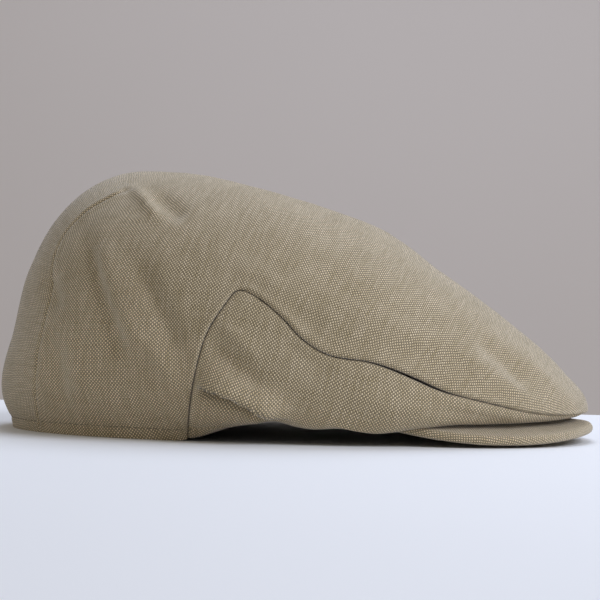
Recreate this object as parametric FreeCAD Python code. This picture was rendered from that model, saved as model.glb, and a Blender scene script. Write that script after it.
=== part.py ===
import FreeCAD, Part
import math
import os

# A linen flat cap: a one-piece top panel with two back darts, two side panels, a stiffened
# brim under the front of the crown, a lining sewn from the same pattern, and a sweatband.
#
# Millimetres.  +X is forward (the brim), +Y is the wearer's left, +Z is up.
# The origin is on the surface that the cap rests on, below the middle of the whole cap.

# ---------- driving dimensions ----------
CAP_BACK_X = -140.0          # rearmost point of the crown
CROWN_FRONT_X = 137.5        # foremost point of the crown, over the brim
CROWN_HALF_WIDTH = 96.0      # widest reach of the crown to each side
CROWN_WIDEST_X = -16.0       # station along X of that widest reach
CROWN_TOP_X = -60.0          # station of the highest point of the crown
CROWN_TOP_Z = 122.0

OPENING_CENTRE_X = -30.0     # head opening, measured on the outside of the hem
OPENING_HALF_LENGTH = 104.5
OPENING_HALF_WIDTH = 82.0
HEM_LIFT = 11.0              # how far the hem arches up beside and in front of the ears
HEM_LIFT_START_X = -58.0     # the hem leaves the table here ...
HEM_LIFT_END_X = -8.0        # ... and has its full height here

CLOTH = 1.2                  # linen with its fused backing
LINING_CLOTH = 0.6
LAYER_GAP = 0.2              # slack between one layer of cloth and the next
SEAM_EASE = 0.3              # extra room for the layers where they end on the sweatband
SWEATBAND_THICKNESS = 1.0
SWEATBAND_HEIGHT = 32.0
SWEATBAND_INSET_Z = 1.0      # lower edge of the sweatband and the lining above the hem
HEM_TRIM = 0.5               # cloth pressed flat on the table at the back of the hem

BRIM_TIP_X = 140.0
BRIM_WIDEST_X = 66.0
BRIM_HALF_WIDTH = 83.0
BRIM_HORN_LENGTH = 72.0      # half axis of the outline behind the widest station
BRIM_BOARD = 2.0             # stiffener
BRIM_BOARD_INSET = 2.4       # board edge inside the finished edge
BRIM_CREST_Z = 14.6          # middle of the brim's thickness, centre line, widest station
BRIM_BOW_RADIUS = 340.0      # bend across the wearer's forehead
BRIM_FALL = 0.112            # drop of the brim per unit forward
BRIM_CLIMB = 20.0            # the crown's lower edge climbs onto the brim over this length ...
BRIM_CLIMB_END = 1.0         # ... and is up this far ahead of the brim's rear points

DART_GROOVE_WIDTH = 0.8      # the pressed line of a sewn back dart, seen from the side
DART_GROOVE_DEPTH = 0.5

RING_POINTS = 48             # stations round the crown
REACH = 400.0                # longer than the cap, for cutting tools

BRIM_THICKNESS = BRIM_BOARD + 2 * (CLOTH + LAYER_GAP)
LAYERS = CLOTH + LAYER_GAP + LINING_CLOTH + LAYER_GAP + SEAM_EASE      # hem to sweatband
BRIM_HALF_LENGTH = BRIM_TIP_X - BRIM_WIDEST_X


def vec(x, y, z):
    return FreeCAD.Vector(x, y, z)


def mix(start, end, share):
    return start + (end - start) * share


def smooth_step(value, low, high):
    share = min(max((value - low) / (high - low), 0.0), 1.0)
    return share * share * (3.0 - 2.0 * share)


def key_value(keys, position):
    """Smooth value at a position between (position, value) keys, flat at both ends."""
    for index in range(len(keys) - 1):
        low, high = keys[index], keys[index + 1]
        if position <= high[0] or index == len(keys) - 2:
            break
    span = high[0] - low[0]
    share = min(max((position - low[0]) / span, 0.0), 1.0)

    def slope(at):
        if at == 0 or at == len(keys) - 1:
            return 0.0
        return (keys[at + 1][1] - keys[at - 1][1]) / (keys[at + 1][0] - keys[at - 1][0])

    rise = high[1] - low[1]
    start_slope, end_slope = slope(index) * span, slope(index + 1) * span
    a = start_slope + end_slope - 2.0 * rise
    b = 3.0 * rise - 2.0 * start_slope - end_slope
    return ((a * share + b) * share + start_slope) * share + low[1]


# ---------- crown surface ----------
# A ring angle goes round the cap from the front (0) over the left side (90) to the back (180).
# Height of the widest line of the crown, by ring angle.
WIDE_Z = [(0, 16.0), (35, 16.5), (62, 20.5), (90, 33.0), (125, 36.0), (155, 28.0), (180, 20.0)]
# How full the crown is against a plain quarter ellipse, by climb angle from widest line to top.
FULL_FRONT = [(0, 1.0), (10, 0.95), (25, 0.885), (42, 0.868), (58, 0.915), (74, 0.934), (84, 0.98), (90, 1.0)]
FULL_BACK = [(0, 1.0), (15, 0.968), (32, 1.005), (54, 1.048), (70, 1.04), (90, 1.0)]


def brim_top_z(x, y):
    """Where cloth lies on the brim: a bow round an axis that falls forward."""
    y = min(abs(y), BRIM_HALF_WIDTH)
    bow = BRIM_BOW_RADIUS - math.sqrt(BRIM_BOW_RADIUS ** 2 - y * y)
    middle = BRIM_CREST_Z - bow - BRIM_FALL * (x - BRIM_WIDEST_X)
    return middle + BRIM_THICKNESS / 2 + LAYER_GAP


def find_brim_horn_x():
    """Station of the brim's rear points, where its outline meets the sweatband."""
    low, high = OPENING_CENTRE_X, BRIM_WIDEST_X
    for _ in range(40):
        x = (low + high) / 2
        outer = BRIM_HALF_WIDTH * math.sqrt(max(1 - ((x - BRIM_WIDEST_X) / BRIM_HORN_LENGTH) ** 2, 0.0))
        reach = (x - OPENING_CENTRE_X) / (OPENING_HALF_LENGTH - LAYERS)
        inner = (OPENING_HALF_WIDTH - LAYERS) * math.sqrt(max(1 - reach ** 2, 0.0))
        low, high = (low, x) if outer > inner else (x, high)
    return high


BRIM_CLIMB_END_X = find_brim_horn_x() + BRIM_CLIMB_END
BRIM_CLIMB_START_X = BRIM_CLIMB_END_X - BRIM_CLIMB


def on_brim(x):
    """0 where the crown's edge stands behind the brim, 1 where it lies on it."""
    return smooth_step(x, BRIM_CLIMB_START_X, BRIM_CLIMB_END_X)


def hem_z(x):
    """Lower edge of the cloth round the opening, seen from the side."""
    return HEM_LIFT * smooth_step(x, HEM_LIFT_START_X, HEM_LIFT_END_X) - HEM_TRIM


def front_share(angle):
    """1 where the crown is a bag over the brim, 0 where it is a wall standing on the hem."""
    return smooth_step(-angle, -math.radians(118.0), -math.radians(72.0))


def opening_edge(angle):
    """Lower edge of the crown cloth; the layers inside it end on the sweatband."""
    tuck = LAYERS * front_share(angle)
    x = OPENING_CENTRE_X + (OPENING_HALF_LENGTH - tuck) * math.cos(angle)
    y = (OPENING_HALF_WIDTH - tuck) * math.sin(angle)
    return vec(x, y, mix(hem_z(x), brim_top_z(x, y), on_brim(x)))


def widest_point(angle):
    """Outermost line of the crown."""
    cosine, sine = math.cos(angle), math.sin(angle)
    if cosine > 0:
        x = CROWN_WIDEST_X + (CROWN_FRONT_X - CROWN_WIDEST_X) * cosine ** (1 / 1.1)
        y = CROWN_HALF_WIDTH * sine
    else:
        x = CROWN_WIDEST_X - (CROWN_WIDEST_X - CAP_BACK_X) * (-cosine) ** (1 / 1.1)
        y = CROWN_HALF_WIDTH * max(sine, 0.0) ** (1 / 1.05)
    return vec(x, y, key_value(WIDE_Z, math.degrees(angle)))


def under_side(angle, climb):
    """From the opening edge (0) out and up to the widest line (1)."""
    edge, wide = opening_edge(angle), widest_point(angle)
    bag = front_share(angle)
    low = mix(hem_z(wide.x) * 0.5, brim_top_z(wide.x, wide.y), smooth_step(wide.x, 10.0, 60.0))
    near_edge = edge + (wide - edge) * mix(0.12, 0.72, bag)
    near_edge.z = mix(edge.z + 0.36 * (wide.z - edge.z), mix(low, edge.z, 0.2), bag)
    below_wide = vec(wide.x, wide.y, mix(mix(edge.z, wide.z, 0.45), low - 0.5, bag))
    back = 1.0 - climb
    point = (edge * back ** 3 + near_edge * (3 * back * back * climb)
             + below_wide * (3 * back * climb * climb) + wide * climb ** 3)
    point.z += on_brim(point.x) * max(brim_top_z(point.x, point.y) + 0.1 - point.z, 0.0)
    return point


def upper_side(angle, climb):
    """From the widest line (0) over the crown to the top (1)."""
    wide, top = widest_point(angle), vec(CROWN_TOP_X, 0, CROWN_TOP_Z)
    turn = math.cos(angle)
    degrees = 90.0 * climb
    full = 1.0
    if turn > 0:
        full += turn ** 1.6 * (key_value(FULL_FRONT, degrees) - 1.0)
    else:
        full += turn * turn * (key_value(FULL_BACK, degrees) - 1.0)
    out = full * math.cos(math.radians(degrees))
    up = full * math.sin(math.radians(degrees))
    return vec(mix(top.x, wide.x, out), mix(top.y, wide.y, out), mix(wide.z, top.z, up))


def crown_point(angle, height):
    """Point of the outside of the crown; height runs from -1 at the opening to 1 at the top."""
    side = -1.0 if math.sin(angle) < 0 else 1.0
    angle = math.acos(max(min(math.cos(angle), 1.0), -1.0))
    point = under_side(angle, height + 1.0) if height < 0 else upper_side(angle, height)
    return vec(point.x, side * point.y, point.z)


def crown_layer_point(angle, height, depth):
    """The same point, moved square to the cloth by a depth inwards."""
    step = 0.004
    around = crown_point(angle + step, height) - crown_point(angle - step, height)
    low, high = max(height - step, -1.0), min(height + step, 1.0 - step)
    along = crown_point(angle, high) - crown_point(angle, low)
    outwards = around.cross(along)
    outwards.normalize()
    return crown_point(angle, height) - outwards * depth


HEIGHTS = ([-1.0, -0.86, -0.72, -0.58, -0.44, -0.31, -0.2, -0.1]
           + [0.0, 0.07, 0.15, 0.25, 0.36, 0.47, 0.58, 0.69, 0.79, 0.88, 0.95])


def crown_ring(height, depth):
    """Closed curve round the crown at one height, evenly parametrised from back to back."""
    points = []
    for index in range(RING_POINTS):
        angle = math.pi * (2.0 * index / RING_POINTS - 1.0)
        points.append(crown_layer_point(angle, height, depth))
    curve = Part.BSplineCurve()
    curve.interpolate(Points=points, PeriodicFlag=True,
                      Parameters=[index / RING_POINTS for index in range(RING_POINTS + 1)])
    return curve


def crown_face(depth):
    """Smooth skin over the rings, closed at the top, and its edge at the opening."""
    rings = [crown_ring(height, depth) for height in HEIGHTS]
    columns = [list(column) for column in zip(*[ring.getPoles() for ring in rings])]
    top = vec(CROWN_TOP_X, 0, CROWN_TOP_Z - depth)
    for column in columns:
        column.append(top)
    climb = [0.0]
    for row in range(len(HEIGHTS)):
        steps = [column[row + 1].distanceToPoint(column[row]) for column in columns]
        climb.append(climb[-1] + sum(steps) / len(steps))
    climb = [length / climb[-1] for length in climb]
    poles = []
    for column in columns:
        curve = Part.BSplineCurve()
        curve.interpolate(Points=column, Parameters=climb)
        poles.append(curve.getPoles())
    skin = Part.BSplineSurface()
    skin.buildFromPolesMultsKnots(poles, rings[0].getMultiplicities(), curve.getMultiplicities(),
                                  rings[0].getKnots(), curve.getKnots(), True, False,
                                  rings[0].Degree, curve.Degree)
    return skin.toShape(), rings[0].toShape()


def cloth_shell(outer_depth, thickness):
    """A whole bag of cloth, open below, between two depths inside the crown surface."""
    outer, outer_edge = crown_face(outer_depth)
    inner, inner_edge = crown_face(outer_depth + thickness)
    shell = Part.Shell([outer, Part.makeRuledSurface(outer_edge, inner_edge), inner])
    shell.sewShape()
    solid = Part.Solid(shell)
    if solid.Volume < 0:
        solid.reverse()
    return solid


# ---------- panels ----------
# The seam between the top panel and a side panel, seen from the side.
SEAM_LINE = [(-48, -3), (-47, 15), (-44, 34), (-40, 48), (-33, 60), (-27, 67), (-19, 64.5),
             (-8, 56), (2, 46), (14, 39.5), (32, 37), (48, 32), (66, 24.5), (84, 20),
             (106, 15), (124, 13.2), (150, 13.2)]


def side_block(side):
    """Everything below the seam line on one side of the cap."""
    curve = Part.BSplineCurve()
    curve.interpolate([vec(x, 0, z) for x, z in SEAM_LINE])
    start, end = vec(SEAM_LINE[0][0], 0, SEAM_LINE[0][1]), vec(SEAM_LINE[-1][0], 0, SEAM_LINE[-1][1])
    low_end, low_start = vec(end.x, 0, -REACH / 4), vec(start.x, 0, -REACH / 4)
    outline = Part.Wire([curve.toShape(), Part.makeLine(end, low_end),
                         Part.makeLine(low_end, low_start), Part.makeLine(low_start, start)])
    return Part.Face(outline).extrude(vec(0, side * REACH, 0))


# A back dart on the crown surface: (height, ring angle), from the hem to the dart's tip.
DART_LINE = [(-1.0, 146.2), (-0.5, 145.0), (0.0, 143.0), (0.14, 142.6), (0.3, 145.6), (0.42, 147.4),
             (0.52, 144.0), (0.6, 137.0), (0.65, 131.0)]


def dart_slot(side):
    """A narrow block along one back dart, as it is seen from the side."""
    half_width = DART_GROOVE_WIDTH / 2
    steps = 14
    heights = [mix(DART_LINE[0][0], DART_LINE[-1][0], step / steps) for step in range(steps + 1)]
    line = [crown_point(math.radians(key_value(DART_LINE, height)), height) for height in heights]
    line = [vec(point.x, 0, point.z) for point in line]
    line[0].z -= DART_GROOVE_WIDTH
    front_side, back_side = [], []
    for index, point in enumerate(line):
        along = line[min(index + 1, steps)] - line[max(index - 1, 0)]
        across = along.cross(vec(0, 1, 0)).normalize() * half_width
        front_side.append(point + across)
        back_side.append(point - across)
    front_curve, back_curve = Part.BSplineCurve(), Part.BSplineCurve()
    front_curve.interpolate(front_side)
    back_curve.interpolate(back_side)
    outline = Part.Wire([front_curve.toShape(), Part.makeLine(front_side[-1], back_side[-1]),
                         back_curve.toShape(), Part.makeLine(back_side[0], front_side[0])])
    return Part.Face(outline).extrude(vec(0, side * REACH, 0))


def sew_darts(panel):
    """The top panel with the shallow groove of its two back darts."""
    skin = cloth_shell(-DART_GROOVE_DEPTH, 2 * DART_GROOVE_DEPTH)
    return panel.cut([skin.common(dart_slot(side)) for side in (-1, 1)])


def table_block(height):
    """Everything below a level, to trim an edge flat."""
    return Part.makeBox(REACH, REACH, REACH, vec(-REACH / 2, -REACH / 2, height - REACH))


def cut_panels(shell):
    """Top panel, right side panel and left side panel out of one bag of cloth."""
    right, left = side_block(-1), side_block(1)
    side_panel = shell.common(right)
    return shell.cut([right, left]), side_panel, side_panel.mirror(vec(0, 0, 0), vec(0, 1, 0))


# ---------- brim ----------
def ellipse_face(centre_x, half_length, half_width, z):
    long_way, short_way = vec(half_length, 0, 0), vec(0, half_width, 0)
    if half_width > half_length:
        long_way, short_way = short_way, vec(half_length, 0, 0)
    centre = vec(centre_x, 0, z)
    curve = Part.Ellipse(centre + long_way, centre + short_way, centre)
    return Part.Face(Part.Wire(curve.toShape()))


def brim_outline(inset):
    """Upright block with the brim's outline in plan: two half ellipses less the opening."""
    half_width = BRIM_HALF_WIDTH - inset
    fronts = ellipse_face(BRIM_WIDEST_X, BRIM_HALF_LENGTH - inset, half_width, -REACH / 4)
    backs = ellipse_face(BRIM_WIDEST_X, BRIM_HORN_LENGTH - inset, half_width, -REACH / 4)
    ahead = Part.makeBox(REACH, REACH, REACH, vec(BRIM_WIDEST_X, -REACH / 2, -REACH / 2))
    behind = Part.makeBox(REACH, REACH, REACH, vec(BRIM_WIDEST_X - REACH, -REACH / 2, -REACH / 2))
    up = vec(0, 0, REACH / 2)
    block = fronts.extrude(up).common(ahead).fuse(backs.extrude(up).common(behind))
    root = ellipse_face(OPENING_CENTRE_X, OPENING_HALF_LENGTH - LAYERS + inset,
                        OPENING_HALF_WIDTH - LAYERS + inset, -REACH / 4).extrude(up)
    return block.cut(root).removeSplitter()


def brim_layer(inset, low, high):
    """The brim's outline between two heights above the middle of its thickness."""
    fall = vec(1, 0, -BRIM_FALL)
    fall.normalize()
    crest = vec(BRIM_WIDEST_X, 0, BRIM_CREST_Z)
    normal = vec(BRIM_FALL, 0, 1)
    normal.normalize()
    start = crest - normal * BRIM_BOW_RADIUS - fall * (REACH / 2)
    outer = Part.makeCylinder(BRIM_BOW_RADIUS + high, REACH, start, fall)
    inner = Part.makeCylinder(BRIM_BOW_RADIUS + low, REACH, start, fall)
    upper_half = Part.makeBox(REACH, REACH, REACH, vec(-REACH / 4, -REACH / 2, -REACH / 4))
    return brim_outline(inset).common(outer.cut(inner).common(upper_half))


def make_brim():
    """Board, under cover, and a top cover that wraps the board's edge."""
    half = BRIM_THICKNESS / 2
    board = brim_layer(BRIM_BOARD_INSET, -BRIM_BOARD / 2, BRIM_BOARD / 2)
    under = brim_layer(CLOTH + LAYER_GAP, -half, -half + CLOTH)
    room = brim_layer(CLOTH, -half - 5.0, half - CLOTH)
    top = brim_layer(0.0, -half, half).cut(room)
    return board, top, under


# ---------- sweatband ----------
def make_sweatband():
    """An upright band on the opening, its edges parallel to the arch of the hem."""
    half_length = OPENING_HALF_LENGTH - LAYERS
    half_width = OPENING_HALF_WIDTH - LAYERS
    up = vec(0, 0, REACH / 2)
    outer = ellipse_face(OPENING_CENTRE_X, half_length, half_width, -REACH / 4).extrude(up)
    inner = ellipse_face(OPENING_CENTRE_X, half_length - SWEATBAND_THICKNESS,
                         half_width - SWEATBAND_THICKNESS, -REACH / 4).extrude(up)
    xs = [HEM_LIFT_START_X + (HEM_LIFT_END_X - HEM_LIFT_START_X) * i / 8 for i in range(9)]
    xs = [-REACH, HEM_LIFT_START_X - 40, HEM_LIFT_START_X - 20] + xs + [HEM_LIFT_END_X + 20, REACH]

    def edge(lift, reverse=False):
        line = [vec(x, -REACH / 2, (hem_z(x) + HEM_TRIM) * 0.8 + lift) for x in xs]
        curve = Part.BSplineCurve()
        curve.interpolate(line[1:-1])
        start = Part.makeLine(line[0], line[1])
        end = Part.makeLine(line[-2], line[-1])
        return [start, curve.toShape(), end], line[0], line[-1]

    low_edges, low_start, low_end = edge(SWEATBAND_INSET_Z)
    high_edges, high_start, high_end = edge(SWEATBAND_INSET_Z + SWEATBAND_HEIGHT)
    outline = Part.Wire(Part.__sortEdges__(low_edges + high_edges + [
        Part.makeLine(low_start, high_start), Part.makeLine(low_end, high_end)]))
    strip = Part.Face(outline).extrude(vec(0, REACH, 0))
    return outer.cut(inner).common(strip)


# ---------- write one file per piece ----------
def single_solid(shape, name):
    solids = shape.Solids
    if len(solids) != 1 or not solids[0].isValid():
        print(name, "has", len(solids), "solids, valid:", [s.isValid() for s in solids])
    return solids[0] if len(solids) == 1 else Part.makeCompound(solids)


def main():
    os.makedirs("parts", exist_ok=True)
    outer_bag = cloth_shell(0.0, CLOTH)
    lining_bag = cloth_shell(CLOTH + LAYER_GAP, LINING_CLOTH)
    pieces = {}
    names = ("top_panel", "side_panel_right", "side_panel_left")
    for name, panel in zip(names, cut_panels(outer_bag.cut(table_block(0.0)))):
        pieces[name] = panel
    pieces["top_panel"] = sew_darts(pieces["top_panel"])
    names = ("lining_top", "lining_side_right", "lining_side_left")
    for name, panel in zip(names, cut_panels(lining_bag.cut(table_block(SWEATBAND_INSET_Z)))):
        pieces[name] = panel
    pieces["brim_board"], pieces["brim_top_cover"], pieces["brim_under_cover"] = make_brim()
    pieces["sweatband"] = make_sweatband()
    for name, shape in pieces.items():
        piece = single_solid(shape, name)
        box = piece.optimalBoundingBox()
        print(f"{name}: {piece.Volume:.0f} mm3, x {box.XMin:.1f}..{box.XMax:.1f},"
              f" y {box.YMin:.1f}..{box.YMax:.1f}, z {box.ZMin:.1f}..{box.ZMax:.1f}")
        piece.exportStep(f"parts/{name}.step")


main()
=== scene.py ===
import logging
import math
from dataclasses import dataclass, field, replace
from enum import Enum
from typing import Sequence

import bmesh
import bpy
import numpy as np
from mathutils import Matrix, Vector, kdtree, noise


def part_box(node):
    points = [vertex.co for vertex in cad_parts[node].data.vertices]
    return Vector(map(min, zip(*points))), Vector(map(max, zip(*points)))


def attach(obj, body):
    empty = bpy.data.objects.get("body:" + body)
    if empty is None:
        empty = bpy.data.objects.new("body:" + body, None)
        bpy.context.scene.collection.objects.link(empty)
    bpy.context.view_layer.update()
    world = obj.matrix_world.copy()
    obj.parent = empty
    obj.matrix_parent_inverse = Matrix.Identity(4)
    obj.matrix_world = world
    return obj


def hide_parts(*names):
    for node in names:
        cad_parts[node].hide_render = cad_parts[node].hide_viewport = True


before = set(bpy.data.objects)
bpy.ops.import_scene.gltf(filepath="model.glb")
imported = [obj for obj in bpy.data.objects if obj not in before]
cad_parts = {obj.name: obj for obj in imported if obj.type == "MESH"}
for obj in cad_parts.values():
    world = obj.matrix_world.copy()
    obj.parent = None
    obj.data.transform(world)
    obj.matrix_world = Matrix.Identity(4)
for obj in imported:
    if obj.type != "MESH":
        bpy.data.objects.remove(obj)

LOG = logging.getLogger("flat_cap")
MM = 0.001                       # metres in a millimetre: sizes below are in millimetres
BODY = "root"

Array = np.ndarray


class Side(Enum):
    """A side of the cap, as the sign of Y there."""

    RIGHT = -1
    LEFT = 1


# ---------------------------------------------------------------- small helpers
def node_box(node: str) -> tuple[Vector, Vector]:
    """Corners of a CAD node in millimetres.

    Args:
        node: name of the CAD node.

    Returns:
        Its lowest and highest corner.
    """
    low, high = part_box(node)
    return low / MM, high / MM


def mix(start, end, share):
    """Value a share of the way from start to end, for numbers and arrays alike."""
    return start + (end - start) * share


def hump(distance: Array, width: float, middle: float = 0.0) -> Array:
    """A smooth hump of height 1 that falls away on both sides of its middle."""
    return np.exp(-((distance - middle) / width) ** 2)


def unit(vectors: Array) -> Array:
    """The same directions with a length of 1."""
    return vectors / np.linalg.norm(vectors, axis=-1, keepdims=True)


def smooth_step(value: Array, low: float, high: float) -> Array:
    """0 below low, 1 above high and a smooth rise between."""
    share = np.clip((np.asarray(value, float) - low) / (high - low), 0.0, 1.0)
    return share * share * (3.0 - 2.0 * share)


def key_curve(keys: Sequence[tuple[float, float]], position: Array) -> Array:
    """Smooth curve through keys, flat at both ends.

    Args:
        keys: (position, value) pairs in rising order.
        position: where the curve is read.

    Returns:
        The values there.
    """
    xs, ys = (np.array(column, float) for column in zip(*keys))
    slopes = np.zeros(len(xs))
    slopes[1:-1] = (ys[2:] - ys[:-2]) / (xs[2:] - xs[:-2])
    position = np.clip(np.asarray(position, float), xs[0], xs[-1])
    index = np.clip(np.searchsorted(xs, position, side="right") - 1, 0, len(xs) - 2)
    span = xs[index + 1] - xs[index]
    share = (position - xs[index]) / span
    rise = ys[index + 1] - ys[index]
    start, end = slopes[index] * span, slopes[index + 1] * span
    a = start + end - 2.0 * rise
    b = 3.0 * rise - 2.0 * start - end
    return ((a * share + b) * share + start) * share + ys[index]


def smooth_line(points: Sequence[Sequence[float]], step: float) -> Array:
    """Even samples of a smooth line through a few points.

    Args:
        points: the points that the line passes.
        step: about the distance between samples.

    Returns:
        The samples, one row each.
    """
    points = np.array(points, float)
    ends = np.vstack([2 * points[0] - points[1], points, 2 * points[-1] - points[-2]])
    fine = []
    shares = np.linspace(0.0, 1.0, 40, endpoint=False)[:, None]
    for p0, p1, p2, p3 in zip(ends, ends[1:], ends[2:], ends[3:]):
        fine.append(0.5 * (2 * p1 + (p2 - p0) * shares + (2 * p0 - 5 * p1 + 4 * p2 - p3) * shares ** 2
                           + (3 * p1 - p0 - 3 * p2 + p3) * shares ** 3))
    fine = np.vstack(fine + [points[-1:]])
    return even_line(fine, max(int(line_length(fine) / step), 2))


def line_length(line: Array) -> float:
    """Length of a line of samples."""
    return float(np.linalg.norm(np.diff(line, axis=0), axis=1).sum())


def even_line(line: Array, count: int) -> Array:
    """The same line as count + 1 samples at equal distances."""
    along = np.concatenate([[0.0], np.cumsum(np.linalg.norm(np.diff(line, axis=0), axis=1))])
    wanted = np.linspace(0.0, along[-1], count + 1)
    return np.stack([np.interp(wanted, along, line[:, axis]) for axis in range(line.shape[1])], axis=1)


def line_distance(points: Array, line: Array) -> tuple[Array, Array]:
    """How far points lie from a line in a plane.

    Args:
        points: one (x, y) per row.
        line: samples of the line.

    Returns:
        The signed distance, positive on the left of the line, and the share of the line passed.
    """
    start, step = line[:-1], np.diff(line, axis=0)
    best = np.full(len(points), np.inf)
    signed, passed = np.zeros(len(points)), np.zeros(len(points))
    for index, (origin, way) in enumerate(zip(start, step)):
        share = np.clip((points - origin) @ way / (way @ way), 0.0, 1.0)
        off = points - origin - share[:, None] * way
        distance = np.linalg.norm(off, axis=1)
        closer = distance < best
        best[closer] = distance[closer]
        turn = way[0] * off[:, 1] - way[1] * off[:, 0]
        signed[closer] = (distance * np.sign(turn))[closer]
        passed[closer] = ((index + share) / len(start))[closer]
    return signed, passed


def new_object(name: str, mesh: bmesh.types.BMesh, smooth: bool = True) -> bpy.types.Object:
    """Put a finished mesh into the scene.

    Args:
        name: name of the object and of its mesh.
        mesh: the mesh, which is used up.
        smooth: shade its faces smoothly; otherwise they stay as they are.

    Returns:
        The object.
    """
    if smooth:
        for face in mesh.faces:
            face.smooth = True
    data = bpy.data.meshes.new(name)
    mesh.to_mesh(data)
    mesh.free()
    made = bpy.data.objects.new(name, data)
    bpy.context.collection.objects.link(made)
    return made


# ---------------------------------------------------------------- materials
def linear(colour: str) -> tuple[float, float, float, float]:
    """A linear colour from an sRGB hex value such as "#9a8f7b"."""
    parts = [int(colour[place:place + 2], 16) / 255.0 for place in (1, 3, 5)]
    return (*[part / 12.92 if part <= 0.04045 else ((part + 0.055) / 1.055) ** 2.4 for part in parts], 1.0)


def add_node(tree: bpy.types.NodeTree, kind: str, inputs: dict | None = None, **settings) -> bpy.types.Node:
    """Add one shader node with its settings and links.

    Args:
        tree: the material's node tree.
        kind: the node's type name, less "ShaderNode".
        inputs: what each input gets: a value, a socket, or a node for its first output.
        settings: attributes of the node.

    Returns:
        The new node.
    """
    node = tree.nodes.new("ShaderNode" + kind)
    for name, value in settings.items():
        setattr(node, name, value)
    for name, value in (inputs or {}).items():
        if isinstance(value, bpy.types.Node):
            value = value.outputs[0]
        if isinstance(value, bpy.types.NodeSocket):
            tree.links.new(value, node.inputs[name])
        else:
            node.inputs[name].default_value = value
    return node


def new_material(name: str) -> tuple[bpy.types.Material, bpy.types.NodeTree, bpy.types.Node]:
    """An empty material with a Principled shader.

    Args:
        name: name of the material.

    Returns:
        The material, its node tree and its shader node.
    """
    material = bpy.data.materials.new(name)
    material.use_nodes = True
    return material, material.node_tree, material.node_tree.nodes["Principled BSDF"]


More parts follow.
